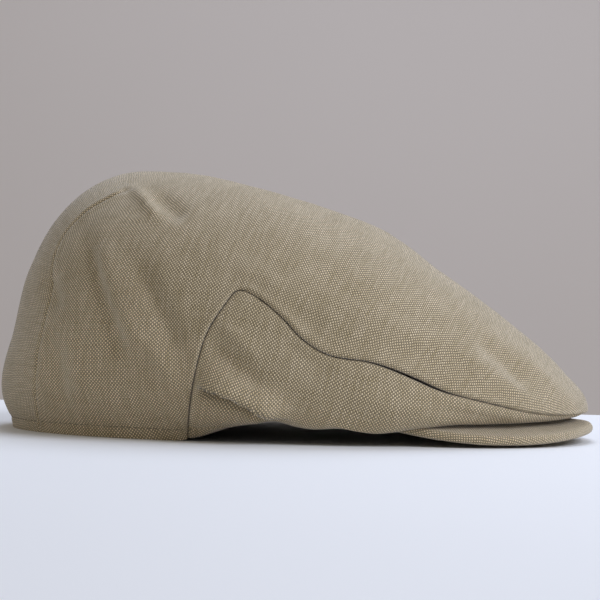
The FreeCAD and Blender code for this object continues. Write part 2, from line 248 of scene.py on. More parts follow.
@dataclass(frozen=True)
class PlainWeave:
    """A plain-woven cloth: every thread goes over one thread and under the next."""

    name: str
    light: str                   # the thread where it is thick and pale
    dark: str                    # the thread where it is thin and dark
    shadow: float = 0.05         # painted shade: brightness left in the gaps between threads
    contrast: float = 0.62       # how much darker the weft is coloured than the warp: partly its own tone, partly painted shade
    pitch: float = 0.8           # from one thread to the next
    slub_length: float = 14.0    # length of a thick place in a thread
    wander: float = 1.6          # how far threads stray, in pitches
    grain: float = 0.0           # turn of the threads on the piece, in degrees
    relief: float = 0.16         # how far a thread stands over the gap
    roughness: float = 0.9
    sheen: float = 0.35
    specular: float = 0.2

    def build(self) -> bpy.types.Material:
        """The finish as a material that follows a piece's own cut."""
        material, tree, shader = new_material(self.name)
        cut = add_node(tree, "UVMap", uv_map="cut")
        size = 1.0 / (self.pitch * MM)
        turned = add_node(tree, "Mapping", {"Vector": cut, "Rotation": (0, 0, math.radians(self.grain)),
                                            "Scale": (size, size, size)})
        # hand-spun threads wander by a fraction of their own width
        stray = add_node(tree, "TexNoise", {"Vector": turned, "Scale": 0.11, "Detail": 2.0})
        shift = add_node(tree, "VectorMath", {0: stray.outputs["Color"], 1: (0.5, 0.5, 0.5)},
                         operation="SUBTRACT")
        shift = add_node(tree, "VectorMath", {0: shift, "Scale": self.wander}, operation="SCALE")
        place = add_node(tree, "VectorMath", {0: turned, 1: shift}, operation="ADD")
        axes = add_node(tree, "SeparateXYZ", {0: place})
        number, crest = [], []
        for axis in ("X", "Y"):
            along = axes.outputs[axis]
            number.append(add_node(tree, "Math", {0: along}, operation="FLOOR"))
            inside = add_node(tree, "Math", {0: along}, operation="FRACT")
            centred = add_node(tree, "Math", {0: inside, 1: 2.0, 2: -1.0}, operation="MULTIPLY_ADD")
            square = add_node(tree, "Math", {0: centred, 1: centred}, operation="MULTIPLY")
            crest.append(add_node(tree, "Math", {0: 1.0, 1: square}, operation="SUBTRACT"))
        both = add_node(tree, "Math", {0: number[0], 1: number[1]}, operation="ADD")
        over = add_node(tree, "Math", {0: both, 1: 2.0}, operation="FLOORED_MODULO")
        heights, tones = [], []
        for across, along in ((0, 1), (1, 0)):
            bend = add_node(tree, "Math", {0: crest[along], 1: 0.5, 2: 0.5}, operation="MULTIPLY_ADD")
            heights.append(add_node(tree, "Math", {0: crest[across], 1: bend}, operation="MULTIPLY"))
            thread = add_node(tree, "Math", {0: number[across], 1: 7.31}, operation="MULTIPLY")
            run = add_node(tree, "Math", {0: axes.outputs["XY"[along]], 1: self.pitch / self.slub_length},
                           operation="MULTIPLY")
            slub = add_node(tree, "CombineXYZ", {0: thread, 1: run, 2: 3.7 * across})
            tones.append(add_node(tree, "TexNoise", {"Vector": slub, "Scale": 1.0, "Detail": 2.0}))
        height = add_node(tree, "Mix", {0: over, 2: heights[0], 3: heights[1]})
        tone = add_node(tree, "Mix", {0: over, 2: tones[0], 3: tones[1]})
        spread = add_node(tree, "MapRange", {0: tone, 1: 0.3, 2: 0.7})
        # cloth also varies slowly, where it was creased, handled and pressed
        cloud = add_node(tree, "TexNoise", {"Vector": cut, "Scale": 38.0, "Detail": 3.0})
        mixed = add_node(tree, "Math", {0: cloud, 1: 0.5, 2: -0.25}, operation="MULTIPLY_ADD")
        share = add_node(tree, "Math", {0: spread, 1: mixed}, operation="ADD", use_clamp=True)
        colour = add_node(tree, "Mix", {0: share, 6: linear(self.dark), 7: linear(self.light)},
                          data_type="RGBA")
        # Painted shade: the colour is darkened in the gaps between threads, down to shadow
        relief = add_node(tree, "MapRange", {0: height, 1: 0.0, 2: 0.75, 3: self.shadow, 4: 1.0})
        # The weft is darkened partly for its own tone and partly as painted shade from light falling across the
        # threads
        weft_tone_and_shade = add_node(tree, "Math", {0: over, 1: -self.contrast, 2: 1.0}, operation="MULTIPLY_ADD")
        shade = add_node(tree, "Math", {0: relief, 1: weft_tone_and_shade}, operation="MULTIPLY")
        shaded = add_node(tree, "VectorMath", {0: colour.outputs[2], "Scale": shade}, operation="SCALE")
        tree.links.new(shaded.outputs[0], shader.inputs["Base Color"])
        bump = add_node(tree, "Bump", {"Height": height, "Distance": self.relief * MM, "Strength": 0.8})
        tree.links.new(bump.outputs[0], shader.inputs["Normal"])
        shader.inputs["Roughness"].default_value = self.roughness
        shader.inputs["Sheen Weight"].default_value = self.sheen
        shader.inputs["Sheen Roughness"].default_value = 0.5
        shader.inputs["Specular IOR Level"].default_value = self.specular
        return material


@dataclass(frozen=True)
class Grosgrain:
    """A ribbon with close ribs across its length."""

    name: str = "grosgrain_ribbon"
    light: str = "#5f574c"
    dark: str = "#3f3931"
    rib: float = 0.9             # from one rib to the next

    def build(self) -> bpy.types.Material:
        """The finish as a material on the ribbon's own length and width."""
        material, tree, shader = new_material(self.name)
        cut = add_node(tree, "UVMap", uv_map="cut")
        axes = add_node(tree, "SeparateXYZ", {0: cut})
        turns = add_node(tree, "Math", {0: axes.outputs["X"], 1: math.tau / (self.rib * MM)},
                         operation="MULTIPLY")
        wave = add_node(tree, "Math", {0: turns}, operation="COSINE")
        rib = add_node(tree, "MapRange", {0: wave, 1: -1.0, 2: 1.0})
        ends = add_node(tree, "Mapping", {"Vector": cut, "Scale": (1600.0, 60.0, 1.0)})
        fleck = add_node(tree, "TexNoise", {"Vector": ends, "Scale": 1.0, "Detail": 2.0})
        # Painted highlight and shade: each rib's crest is coloured lighter and the hollow between ribs darker,
        # over random flecks
        share = add_node(tree, "Math", {0: rib, 1: 0.6, 2: fleck}, operation="MULTIPLY_ADD", use_clamp=True)
        colour = add_node(tree, "Mix", {0: share, 6: linear(self.dark), 7: linear(self.light)},
                          data_type="RGBA")
        tree.links.new(colour.outputs[2], shader.inputs["Base Color"])
        bump = add_node(tree, "Bump", {"Height": rib, "Distance": 0.2 * MM, "Strength": 0.7})
        tree.links.new(bump.outputs[0], shader.inputs["Normal"])
        shader.inputs["Roughness"].default_value = 0.62
        shader.inputs["Sheen Weight"].default_value = 0.15
        shader.inputs["Specular IOR Level"].default_value = 0.35
        return material


@dataclass(frozen=True)
class MouldedBoard:
    """Moulded polyethylene, a little cloudy, with the fine grain of its mould."""

    name: str = "polyethylene_board"
    colour: str = "#e2e1da"
    grain: float = 1.5           # size of the mould's grain

    def build(self) -> bpy.types.Material:
        """The finish as a material on object coordinates."""
        material, tree, shader = new_material(self.name)
        place = add_node(tree, "TexCoord")
        grain = add_node(tree, "TexNoise", {"Vector": place.outputs["Object"],
                                            "Scale": 1.0 / (self.grain * MM)})
        cloud = add_node(tree, "TexNoise", {"Vector": place.outputs["Object"], "Scale": 40.0})
        dark = tuple(0.86 * part for part in linear(self.colour)[:3]) + (1.0,)
        colour = add_node(tree, "Mix", {0: cloud, 6: dark, 7: linear(self.colour)}, data_type="RGBA")
        tree.links.new(colour.outputs[2], shader.inputs["Base Color"])
        bump = add_node(tree, "Bump", {"Height": grain, "Distance": 0.05 * MM})
        tree.links.new(bump.outputs[0], shader.inputs["Normal"])
        shader.inputs["Roughness"].default_value = 0.45
        return material


@dataclass(frozen=True)
class SewingThread:
    """Spun polyester thread of two plies, twisted."""

    name: str
    colour: str
    twist: float = 0.5           # length of one turn of the plies

    def build(self) -> bpy.types.Material:
        """The finish as a material on object coordinates."""
        material, tree, shader = new_material(self.name)
        place = add_node(tree, "TexCoord")
        size = 1.0 / (self.twist * MM * 6.0)
        twist = add_node(tree, "TexWave", {"Vector": place.outputs["Object"], "Scale": size},
                         bands_direction="DIAGONAL")
        # Painted shade: the twist's diagonal bands darken the colour where the grooves between the plies lie
        dark = tuple(0.6 * part for part in linear(self.colour)[:3]) + (1.0,)
        colour = add_node(tree, "Mix", {0: twist.outputs["Fac"], 6: dark, 7: linear(self.colour)},
                          data_type="RGBA")
        tree.links.new(colour.outputs[2], shader.inputs["Base Color"])
        shader.inputs["Roughness"].default_value = 0.6
        shader.inputs["Sheen Weight"].default_value = 0.1
        return material


@dataclass(frozen=True)
class MattPaint:
    """A plain painted surface of the studio."""

    name: str
    colour: str
    roughness: float = 0.6

    def build(self) -> bpy.types.Material:
        """The finish as a material."""
        material, tree, shader = new_material(self.name)
        place = add_node(tree, "TexCoord")
        cloud = add_node(tree, "TexNoise", {"Vector": place.outputs["Object"], "Scale": 3.0})
        dark = tuple(0.97 * part for part in linear(self.colour)[:3]) + (1.0,)
        colour = add_node(tree, "Mix", {0: cloud, 6: dark, 7: linear(self.colour)}, data_type="RGBA")
        tree.links.new(colour.outputs[2], shader.inputs["Base Color"])
        shader.inputs["Roughness"].default_value = self.roughness
        return material


# ---------------------------------------------------------------- the crown's form
@dataclass
class CrownForm:
    """The outside of the crown as one bag over the brim, in millimetres.

    A point is given by a ring angle, 0 at the front and 180 degrees at the back, and by a
    height from -1 at the head opening through 0 at the widest line to 1 at the top.
    """

    back_x: float = node_box("top_panel")[0].x
    front_x: float = node_box("top_panel")[1].x
    half_width: float = node_box("side_panel_left")[1].y
    widest_x: float = -16.0
    top_x: float = -60.0
    top_z: float = 122.0
    opening_x: float = -30.0
    opening_half_length: float = 104.5
    opening_half_width: float = 82.0
    layers: float = 2.5          # from the outside of the hem to the sweatband
    hem_lift: float = 11.0
    hem_lift_x: tuple[float, float] = (-58.0, -8.0)
    hem_trim: float = 0.5
    brim_widest_x: float = 66.0
    brim_half_width: float = node_box("brim_top_cover")[1].y
    brim_thickness: float = 4.8
    brim_crest_z: float = 14.6
    brim_radius: float = 340.0
    brim_fall: float = 0.112
    brim_gap: float = 0.2
    widest_z: tuple = ((0, 16.0), (35, 16.5), (62, 20.5), (90, 33.0), (125, 36.0), (155, 28.0), (180, 20.0))
    full_front: tuple = ((0, 1.0), (10, 0.95), (25, 0.885), (42, 0.868), (58, 0.915), (74, 0.934),
                         (84, 0.98), (90, 1.0))
    full_back: tuple = ((0, 1.0), (15, 0.968), (32, 1.005), (54, 1.048), (70, 1.04), (90, 1.0))

    def brim_middle_z(self, x: Array, y: Array) -> Array:
        """Height of the middle of the brim's thickness."""
        y = np.minimum(np.abs(y), self.brim_half_width)
        bow = self.brim_radius - np.sqrt(self.brim_radius ** 2 - y * y)
        return self.brim_crest_z - bow - self.brim_fall * (x - self.brim_widest_x)

    def brim_top_z(self, x: Array, y: Array) -> Array:
        """Where cloth lies on the brim."""
        return self.brim_middle_z(x, y) + self.brim_thickness / 2 + self.brim_gap

    def hem_z(self, x: Array) -> Array:
        """Lower edge of the cloth round the opening."""
        return self.hem_lift * smooth_step(x, *self.hem_lift_x) - self.hem_trim

    def opening_edge(self, angle: Array, bag: Array) -> Array:
        """Lower edge of the crown's cloth."""
        x = self.opening_x + (self.opening_half_length - self.layers * bag) * np.cos(angle)
        y = (self.opening_half_width - self.layers * bag) * np.sin(angle)
        return np.stack([x, y, mix(self.hem_z(x), self.brim_top_z(x, y), smooth_step(x, 5.0, 25.0))], axis=-1)

    def widest_point(self, angle: Array) -> Array:
        """Outermost line of the crown."""
        turn, sine = np.cos(angle), np.maximum(np.sin(angle), 0.0)
        reach = np.abs(turn) ** (1 / 1.1)
        x = self.widest_x + np.where(turn > 0, (self.front_x - self.widest_x) * reach,
                                     (self.back_x - self.widest_x) * reach)
        y = self.half_width * np.where(turn > 0, sine, sine ** (1 / 1.05))
        return np.stack([x, y, key_curve(self.widest_z, np.degrees(angle))], axis=-1)

    def under_side(self, angle: Array, climb: Array) -> Array:
        """From the opening edge (0) out and up to the widest line (1)."""
        bag = smooth_step(-angle, -math.radians(118.0), -math.radians(72.0))
        edge, wide = self.opening_edge(angle, bag), self.widest_point(angle)
        low = mix(self.hem_z(wide[:, 0]) * 0.5, self.brim_top_z(wide[:, 0], wide[:, 1]),
                  smooth_step(wide[:, 0], 10.0, 60.0))
        near_edge = edge + (wide - edge) * mix(0.12, 0.72, bag)[:, None]
        near_edge[:, 2] = mix(edge[:, 2] + 0.36 * (wide[:, 2] - edge[:, 2]), mix(low, edge[:, 2], 0.2), bag)
        below_wide = wide.copy()
        below_wide[:, 2] = mix(mix(edge[:, 2], wide[:, 2], 0.45), low - 0.5, bag)
        climb = climb[:, None]
        back = 1.0 - climb
        point = (edge * back ** 3 + near_edge * (3 * back * back * climb)
                 + below_wide * (3 * back * climb * climb) + wide * climb ** 3)
        over_brim = smooth_step(point[:, 0], 5.0, 25.0)
        lift = np.maximum(self.brim_top_z(point[:, 0], point[:, 1]) + 0.1 - point[:, 2], 0.0)
        point[:, 2] += over_brim * lift
        return point

    def upper_side(self, angle: Array, climb: Array) -> Array:
        """From the widest line (0) over the crown to the top (1)."""
        wide, turn = self.widest_point(angle), np.cos(angle)
        full = np.where(turn > 0, np.abs(turn) ** 1.6 * (key_curve(self.full_front, 90.0 * climb) - 1.0),
                        turn * turn * (key_curve(self.full_back, 90.0 * climb) - 1.0)) + 1.0
        out = full * np.cos(np.radians(90.0 * climb))
        up = full * np.sin(np.radians(90.0 * climb))
        return np.stack([mix(self.top_x, wide[:, 0], out), wide[:, 1] * out,
                         mix(wide[:, 2], self.top_z, up)], axis=-1)

    def point(self, angle: Array, height: Array) -> Array:
        """Points of the outside of the crown.

        Args:
            angle: ring angles in radians, negative on the wearer's right.
            height: heights from -1 to 1.

        Returns:
            One point per row.
        """
        angle, height = np.broadcast_arrays(np.atleast_1d(np.asarray(angle, float)),
                                            np.atleast_1d(np.asarray(height, float)))
        turn = np.arccos(np.clip(np.cos(angle), -1.0, 1.0))
        low = self.under_side(turn, np.clip(height, -1.0, 0.0) + 1.0)
        high = self.upper_side(turn, np.clip(height, 0.0, 1.0))
        points = np.where(height[:, None] < 0, low, high)
        points[:, 1] *= np.where(np.sin(angle) < 0, -1.0, 1.0)
        return points

    def disc_point(self, disc: Array) -> Array:
        """Points from the flat disc on which the panels are laid out: top at its middle, hem on its rim."""
        radius = np.minimum(np.linalg.norm(disc, axis=-1), 1.0)
        return self.point(np.arctan2(disc[..., 1], disc[..., 0]).ravel(), (1.0 - 2.0 * radius).ravel())


def to_disc(angle: Array, height: Array) -> Array:
    """Places on the layout disc for ring angles and heights."""
    radius = (1.0 - np.asarray(height)) / 2.0
    return np.stack([radius * np.cos(angle), radius * np.sin(angle)], axis=-1)


@dataclass
class SideSeam:
    """The seam between the top panel and a side panel, as it is seen from the side."""

    form: CrownForm
    line: tuple = ((-48, -3), (-47, 15), (-44, 34), (-40, 48), (-33, 60), (-27, 67), (-19, 64.5), (-8, 56),
                   (2, 46), (14, 39.5), (32, 37), (48, 32), (66, 24.5), (84, 20), (106, 15), (124, 13.2),
                   (150, 13.2))
    turn_x: float = 122.0        # ahead of this station the seam runs round the nose
    start_z: float = -0.5

    def find(self, x: float, z: float, guess: tuple[float, float]) -> tuple[float, float]:
        """The ring angle and height of the point of the crown that is seen at (x, z).

        Args:
            x: station of the point.
            z: its height over the table.
            guess: an angle and height near it.

        Returns:
            Its angle and height.
        """
        angle, height = guess
        step = 1e-4
        for _ in range(12):
            here, turned, raised = self.form.point([angle, angle + step, angle],
                                                   [height, height, height + step])
            error = np.array([x - here[0], z - here[2]])
            slopes = np.array([[turned[0] - here[0], raised[0] - here[0]],
                               [turned[2] - here[2], raised[2] - here[2]]]) / step
            move = np.linalg.lstsq(slopes, error, rcond=None)[0]
            move *= min(1.0, 0.08 / max(np.abs(move).max(), 1e-9))
            angle, height = angle + move[0], min(max(height + move[1], -1.0), 0.95)
        return angle, height

    def trace(self) -> Array:
        """The seam on the left side as (angle, height) rows, from the hem to the middle of the nose."""
        rows, guess = [], (math.radians(100.0), -1.0)
        for x, z in smooth_line(self.line, 1.5):
            if z >= self.start_z and x <= self.turn_x:
                guess = self.find(x, z, guess)
                rows.append(guess)
        rows[0] = (rows[0][0], -1.0)
        start_angle, height = rows[-1]
        for angle in np.linspace(start_angle, 0.0, 26)[1:]:
            heights = np.linspace(height - 0.12, height + 0.12, 200)
            levels = self.form.point(np.full(200, angle), heights)[:, 2]
            height = float(np.interp(self.line[-1][1], levels, heights))
            rows.append((angle, height))
        return np.array(rows)


# ---------------------------------------------------------------- cloth on a grid
FINE_ROWS = (0.35, 0.8, 1.4, 2.2, 3.2)      # rows of mesh beside a seam, from its edge


def edge_shares(count: int, length: float, at_start: bool = True, at_end: bool = True) -> Array:
    """Shares of an even grid with closer rows beside its ends.

    Args:
        count: number of even rows between.
        length: length of the side in millimetres.
        at_start: whether the first end is a seam.
        at_end: whether the last end is a seam.

    Returns:
        Rising shares from 0 to 1.
    """
    fine = np.array(FINE_ROWS) / length
    low = np.concatenate([[0.0], fine]) if at_start else np.array([0.0])
    high = 1.0 - (np.concatenate([[0.0], fine])[::-1] if at_end else np.array([0.0]))
    middle = np.linspace(low[-1], high[0], count + 2)[1:-1]
    return np.concatenate([low, middle, high])


def closer_rows(shares: Array, place: float, length: float) -> Array:
    """The same shares with close rows on both sides of one place."""
    fine = np.array(FINE_ROWS) / length
    keep = shares[np.abs(shares - place) > fine[-1] * 1.15]
    return np.sort(np.concatenate([keep, [place], place + fine, place - fine]))


@dataclass
class EdgeCurve:
    """One edge of a panel on the layout disc, read by its share of the real length."""

    form: CrownForm
    rows: Array                  # ring angle and height of each sample

    def __post_init__(self) -> None:
        """Measure the edge on the crown."""
        points = self.form.point(self.rows[:, 0], self.rows[:, 1])
        steps = np.linalg.norm(np.diff(points, axis=0), axis=1)
        self.length = float(steps.sum())
        self.along = np.concatenate([[0.0], np.cumsum(steps)]) / self.length
        self.disc = to_disc(self.rows[:, 0], self.rows[:, 1])

    def at(self, share: Array) -> Array:
        """Places on the disc at shares of the length."""
        return np.stack([np.interp(share, self.along, self.disc[:, axis]) for axis in (0, 1)], axis=-1)


@dataclass
class Patch:
    """A panel's layout: the disc inside four edges."""

    start: EdgeCurve             # along = 0, read across
    end: EdgeCurve               # along = 1, read across
    low: EdgeCurve               # across = 0, read along
    high: EdgeCurve              # across = 1, read along
    size: int = 57               # lines each way of the coarse grid that spreads the layout
    rounds: int = 2600
    haste: float = 0.95          # share of the way that a line moves in one round

    def __post_init__(self) -> None:
        """Spread the lines between the edges so that none cross, also round the seam's tip."""
        share = np.linspace(0.0, 1.0, self.size)
        first = self.blend(*np.meshgrid(share, share, indexing="ij"))
        grid = first.copy()
        for _ in range(self.rounds):
            ahead, behind, above, below = grid[2:, 1:-1], grid[:-2, 1:-1], grid[1:-1, 2:], grid[1:-1, :-2]
            along, across = (ahead - behind) / 2, (above - below) / 2
            twist = (grid[2:, 2:] - grid[2:, :-2] - grid[:-2, 2:] + grid[:-2, :-2]) / 4
            over, under = (across ** 2).sum(-1, keepdims=True), (along ** 2).sum(-1, keepdims=True)
            skew = (along * across).sum(-1, keepdims=True)
            pull = over * (ahead + behind) + under * (above + below) - 2 * skew * twist
            even = pull / (2 * (over + under))
            grid[1:-1, 1:-1] = mix(grid[1:-1, 1:-1], even, self.haste)
        self.spread = grid - first

    def disc(self, along: Array, across: Array) -> Array:
        """Places on the disc for shares along and across the panel."""
        row, column = (np.clip(share, 0.0, 1.0) * (self.size - 1) for share in (along, across))
        i, j = (np.minimum(place.astype(int), self.size - 2) for place in (row, column))
        p, q = (row - i)[..., None], (column - j)[..., None]
        spread = ((1 - p) * ((1 - q) * self.spread[i, j] + q * self.spread[i, j + 1])
                  + p * ((1 - q) * self.spread[i + 1, j] + q * self.spread[i + 1, j + 1]))
        return self.blend(along, across) + spread

    def blend(self, along: Array, across: Array) -> Array:
        """The plain blend of the four edges."""
        u, v = along[..., None], across[..., None]
        corners = [self.start.disc[0], self.start.disc[-1], self.end.disc[0], self.end.disc[-1]]
        sides = (1 - v) * self.low.at(along) + v * self.high.at(along)
        ends = (1 - u) * self.start.at(across) + u * self.end.at(across)
        first, last = ((1 - v) * corners[i] + v * corners[i + 1] for i in (0, 2))
        return sides + ends - ((1 - u) * first + u * last)

    def find(self, disc: Array, guess: tuple[float, float]) -> tuple[float, float]:
        """The shares along and across at a place on the disc."""
        along, across = guess
        step = 1e-4
        for _ in range(15):
            here, ahead, beside = self.disc(np.array([along, along + step, along]),
                                            np.array([across, across, across + step]))
            slopes = np.stack([ahead - here, beside - here], axis=1) / step
            move = np.linalg.lstsq(slopes, disc - here, rcond=None)[0]
            move *= min(1.0, 0.1 / max(np.abs(move).max(), 1e-9))
            along, across = along + move[0], across + move[1]
        return float(along), float(across)


@dataclass(frozen=True)
class Fold:
    """A soft ridge (height over 0) or valley in the cloth, along a line seen from one side."""

    line: tuple
    width: float
    height: float
    side: Side = Side.RIGHT

    def rise(self, points: Array) -> Array:
        """How far each point of the cloth is moved outwards."""
        rise = np.zeros(len(points))
        near = np.nonzero(points[:, 1] * self.side.value > 4.0)[0]
        line = smooth_line(self.line, 2.0)
        distance, passed = line_distance(points[near][:, [0, 2]], line)
        fade = smooth_step(passed, 0.0, 0.25) * (1.0 - smooth_step(passed, 0.75, 1.0)) * 0.8 + 0.2
        rise[near] = self.height * hump(distance, self.width) * fade
        return rise


@dataclass(frozen=True)
class Tuck:
    """A lip of cloth that hangs over a hollow, along a line seen from the side, from back to front."""

    line: tuple
    out: float = 4.0             # how far the lip stands out
    drop: float = 4.2            # how far it hangs down
    hollow: float = 7.0          # how far the cloth below it lies in
    reach: float = 6.5           # how far above and below the line it is felt
    depth: float = 1.5           # how far below the line the hollow is deepest

    def shift(self, points: Array, outwards: Array) -> Array:
        """Movement of each point of one side's cloth.

        Args:
            points: the points.
            outwards: directions out of the cloth.

        Returns:
            The movements.
        """
        line = smooth_line(self.line, 1.5)
        above, passed = line_distance(points[:, [0, 2]], line)
        fade = smooth_step(passed, 0.0, 0.25) * (1.0 - smooth_step(passed, 0.6, 1.0))
        lip = hump(np.maximum(above, 0.0), self.reach) * smooth_step(above, -0.4, 0.9) * fade
        below = hump(np.minimum(above + self.depth, 0.0), self.reach * 0.55)
        below *= 1.0 - smooth_step(above, -1.2, 0.2)
        shift = outwards * (self.out * lip - self.hollow * below * fade)[:, None]
        shift[:, 2] -= self.drop * lip
        return shift


def near_line(points: Array, line: Array) -> tuple[Array, Array]:
    """Distance of each point from a line of samples in space.

    Args:
        points: the points, one per row.
        line: samples of the line.

    Returns:
        The distances, and the share of the line's samples passed at the nearest one.
    """
    tree = kdtree.KDTree(len(line))
    for index, sample in enumerate(line):
        tree.insert(sample, index)
    tree.balance()
    found = [tree.find(point) for point in points]
    return np.array([hit[2] for hit in found]), np.array([hit[1] for hit in found]) / max(len(line) - 1, 1)


def unevenness(points: Array, size: float, seed: float) -> Array:
    """Smooth random values from -1 to 1 for points in millimetres, with features of about that size."""
    return np.array([noise.noise(Vector(point) / size + Vector((seed, 2 * seed, -seed))) for point in points])


@dataclass
class Cloth:
    """A sheet of cloth on a grid, with its points in millimetres."""

    name: str
    points: Array                # (rows along, rows across, xyz)
    cut_seams: list = field(default_factory=list)      # (first row, last row, column) of sewn darts
    even_rounds: int = 0         # rounds that space the cut's threads evenly; 0 keeps their angles instead

    def normals(self) -> Array:
        """Directions square to the cloth, out of the side that faces up where along is ahead."""
        along, across = np.gradient(self.points, axis=0), np.gradient(self.points, axis=1)
        normals = np.cross(along, across)
        return normals / np.maximum(np.linalg.norm(normals, axis=-1, keepdims=True), 1e-12)

    def raise_by(self, amount: Array) -> None:
        """Move every point out of the cloth by its own amount."""
        self.points = self.points + self.normals() * np.reshape(amount, self.points.shape[:2] + (1,))

    def build(self, thickness: float, flip: bool = False) -> bpy.types.Object:
        """Make the sheet's object, with its flat cut as a UV map in metres.

        Args:
            thickness: thickness of the cloth, given to its inside.
            flip: whether the cloth's outside is the other one.

        Returns:
            The object.
        """
        rows, columns = self.points.shape[:2]
        grid = bmesh.new()
        bmesh.ops.create_grid(grid, x_segments=rows - 1, y_segments=columns - 1, size=1.0)
        for vertex in grid.verts:
            row = round((vertex.co.x + 1.0) / 2.0 * (rows - 1))
            column = round((vertex.co.y + 1.0) / 2.0 * (columns - 1))
            vertex.index = row * columns + column
        grid.verts.sort()
        grid.verts.ensure_lookup_table()
        flat = self.points.reshape(-1, 3) * MM
        flat[:, 2] = np.maximum(flat[:, 2], 0.0)
        for vertex, place in zip(grid.verts, flat):
            vertex.co = place
        for first, last, column in self.cut_seams:
            for row in range(first, last):
                pair = grid.verts[row * columns + column], grid.verts[(row + 1) * columns + column]
                grid.edges.get(pair).seam = True
        if flip:
            bmesh.ops.reverse_faces(grid, faces=grid.faces)
        piece = new_object(self.name, grid)
        self.lay_flat(piece)
        solid = piece.modifiers.new("thickness", "SOLIDIFY")
        solid.thickness = thickness * MM
        solid.offset = -1.0
        return piece

    def lay_flat(self, piece: bpy.types.Object) -> None:
        """Unwrap the sheet, and turn and scale its flat cut to real metres, lengthways along U."""
        mesh = piece.data
        rows, columns = self.points.shape[:2]
        mesh.uv_layers.new(name="cut")
        bpy.context.view_layer.objects.active = piece
        for other in bpy.context.selected_objects:
            other.select_set(False)
        piece.select_set(True)
        bpy.ops.object.mode_set(mode="EDIT")
        bpy.ops.mesh.select_all(action="SELECT")
        if self.even_rounds:
            bpy.ops.uv.unwrap(method="MINIMUM_STRETCH", iterations=self.even_rounds, margin=0.0)
        else:
            bpy.ops.uv.unwrap(method="CONFORMAL", margin=0.0)
        bpy.ops.object.mode_set(mode="OBJECT")
        count = len(mesh.loops)
        flat, corners = np.zeros(count * 2), np.zeros(count, int)
        layer = mesh.uv_layers["cut"]
        layer.uv.foreach_get("vector", flat)
        mesh.loops.foreach_get("vertex_index", corners)
        flat = flat.reshape(-1, 2)
        by_vertex = np.zeros((rows * columns, 2))
        by_vertex[corners] = flat
        middle = by_vertex.reshape(rows, columns, 2)[:, columns // 2]
        way = middle[int(rows * 0.7)] - middle[int(rows * 0.45)]
        turn = -math.atan2(way[1], way[0])
        flat = flat @ np.array([[math.cos(turn), math.sin(turn)], [-math.sin(turn), math.cos(turn)]])
        quads = flat.reshape(-1, 4, 2)
        one, two = quads[:, 2] - quads[:, 0], quads[:, 3] - quads[:, 1]
        flat_area = float(np.abs(one[:, 0] * two[:, 1] - one[:, 1] * two[:, 0]).sum() / 2)
        real_area = sum(face.area for face in mesh.polygons)
        flat *= math.sqrt(real_area / flat_area)
        flat -= flat.min(axis=0)
        layer.uv.foreach_set("vector", flat.ravel())
        self.flat_size = tuple(float(side) for side in flat.max(axis=0))
        self.flat_area = real_area


def finish_cloth(piece: bpy.types.Object, node: str,
                 material: bpy.types.Material) -> None:
    """Dress a sheet, put it on the body and hide its CAD node.

    Args:
        piece: the sheet's object.
        node: CAD node that it stands for.
        material: its finish.
    """
    piece.data.materials.append(material)
    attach(piece, BODY)
    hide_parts(node)


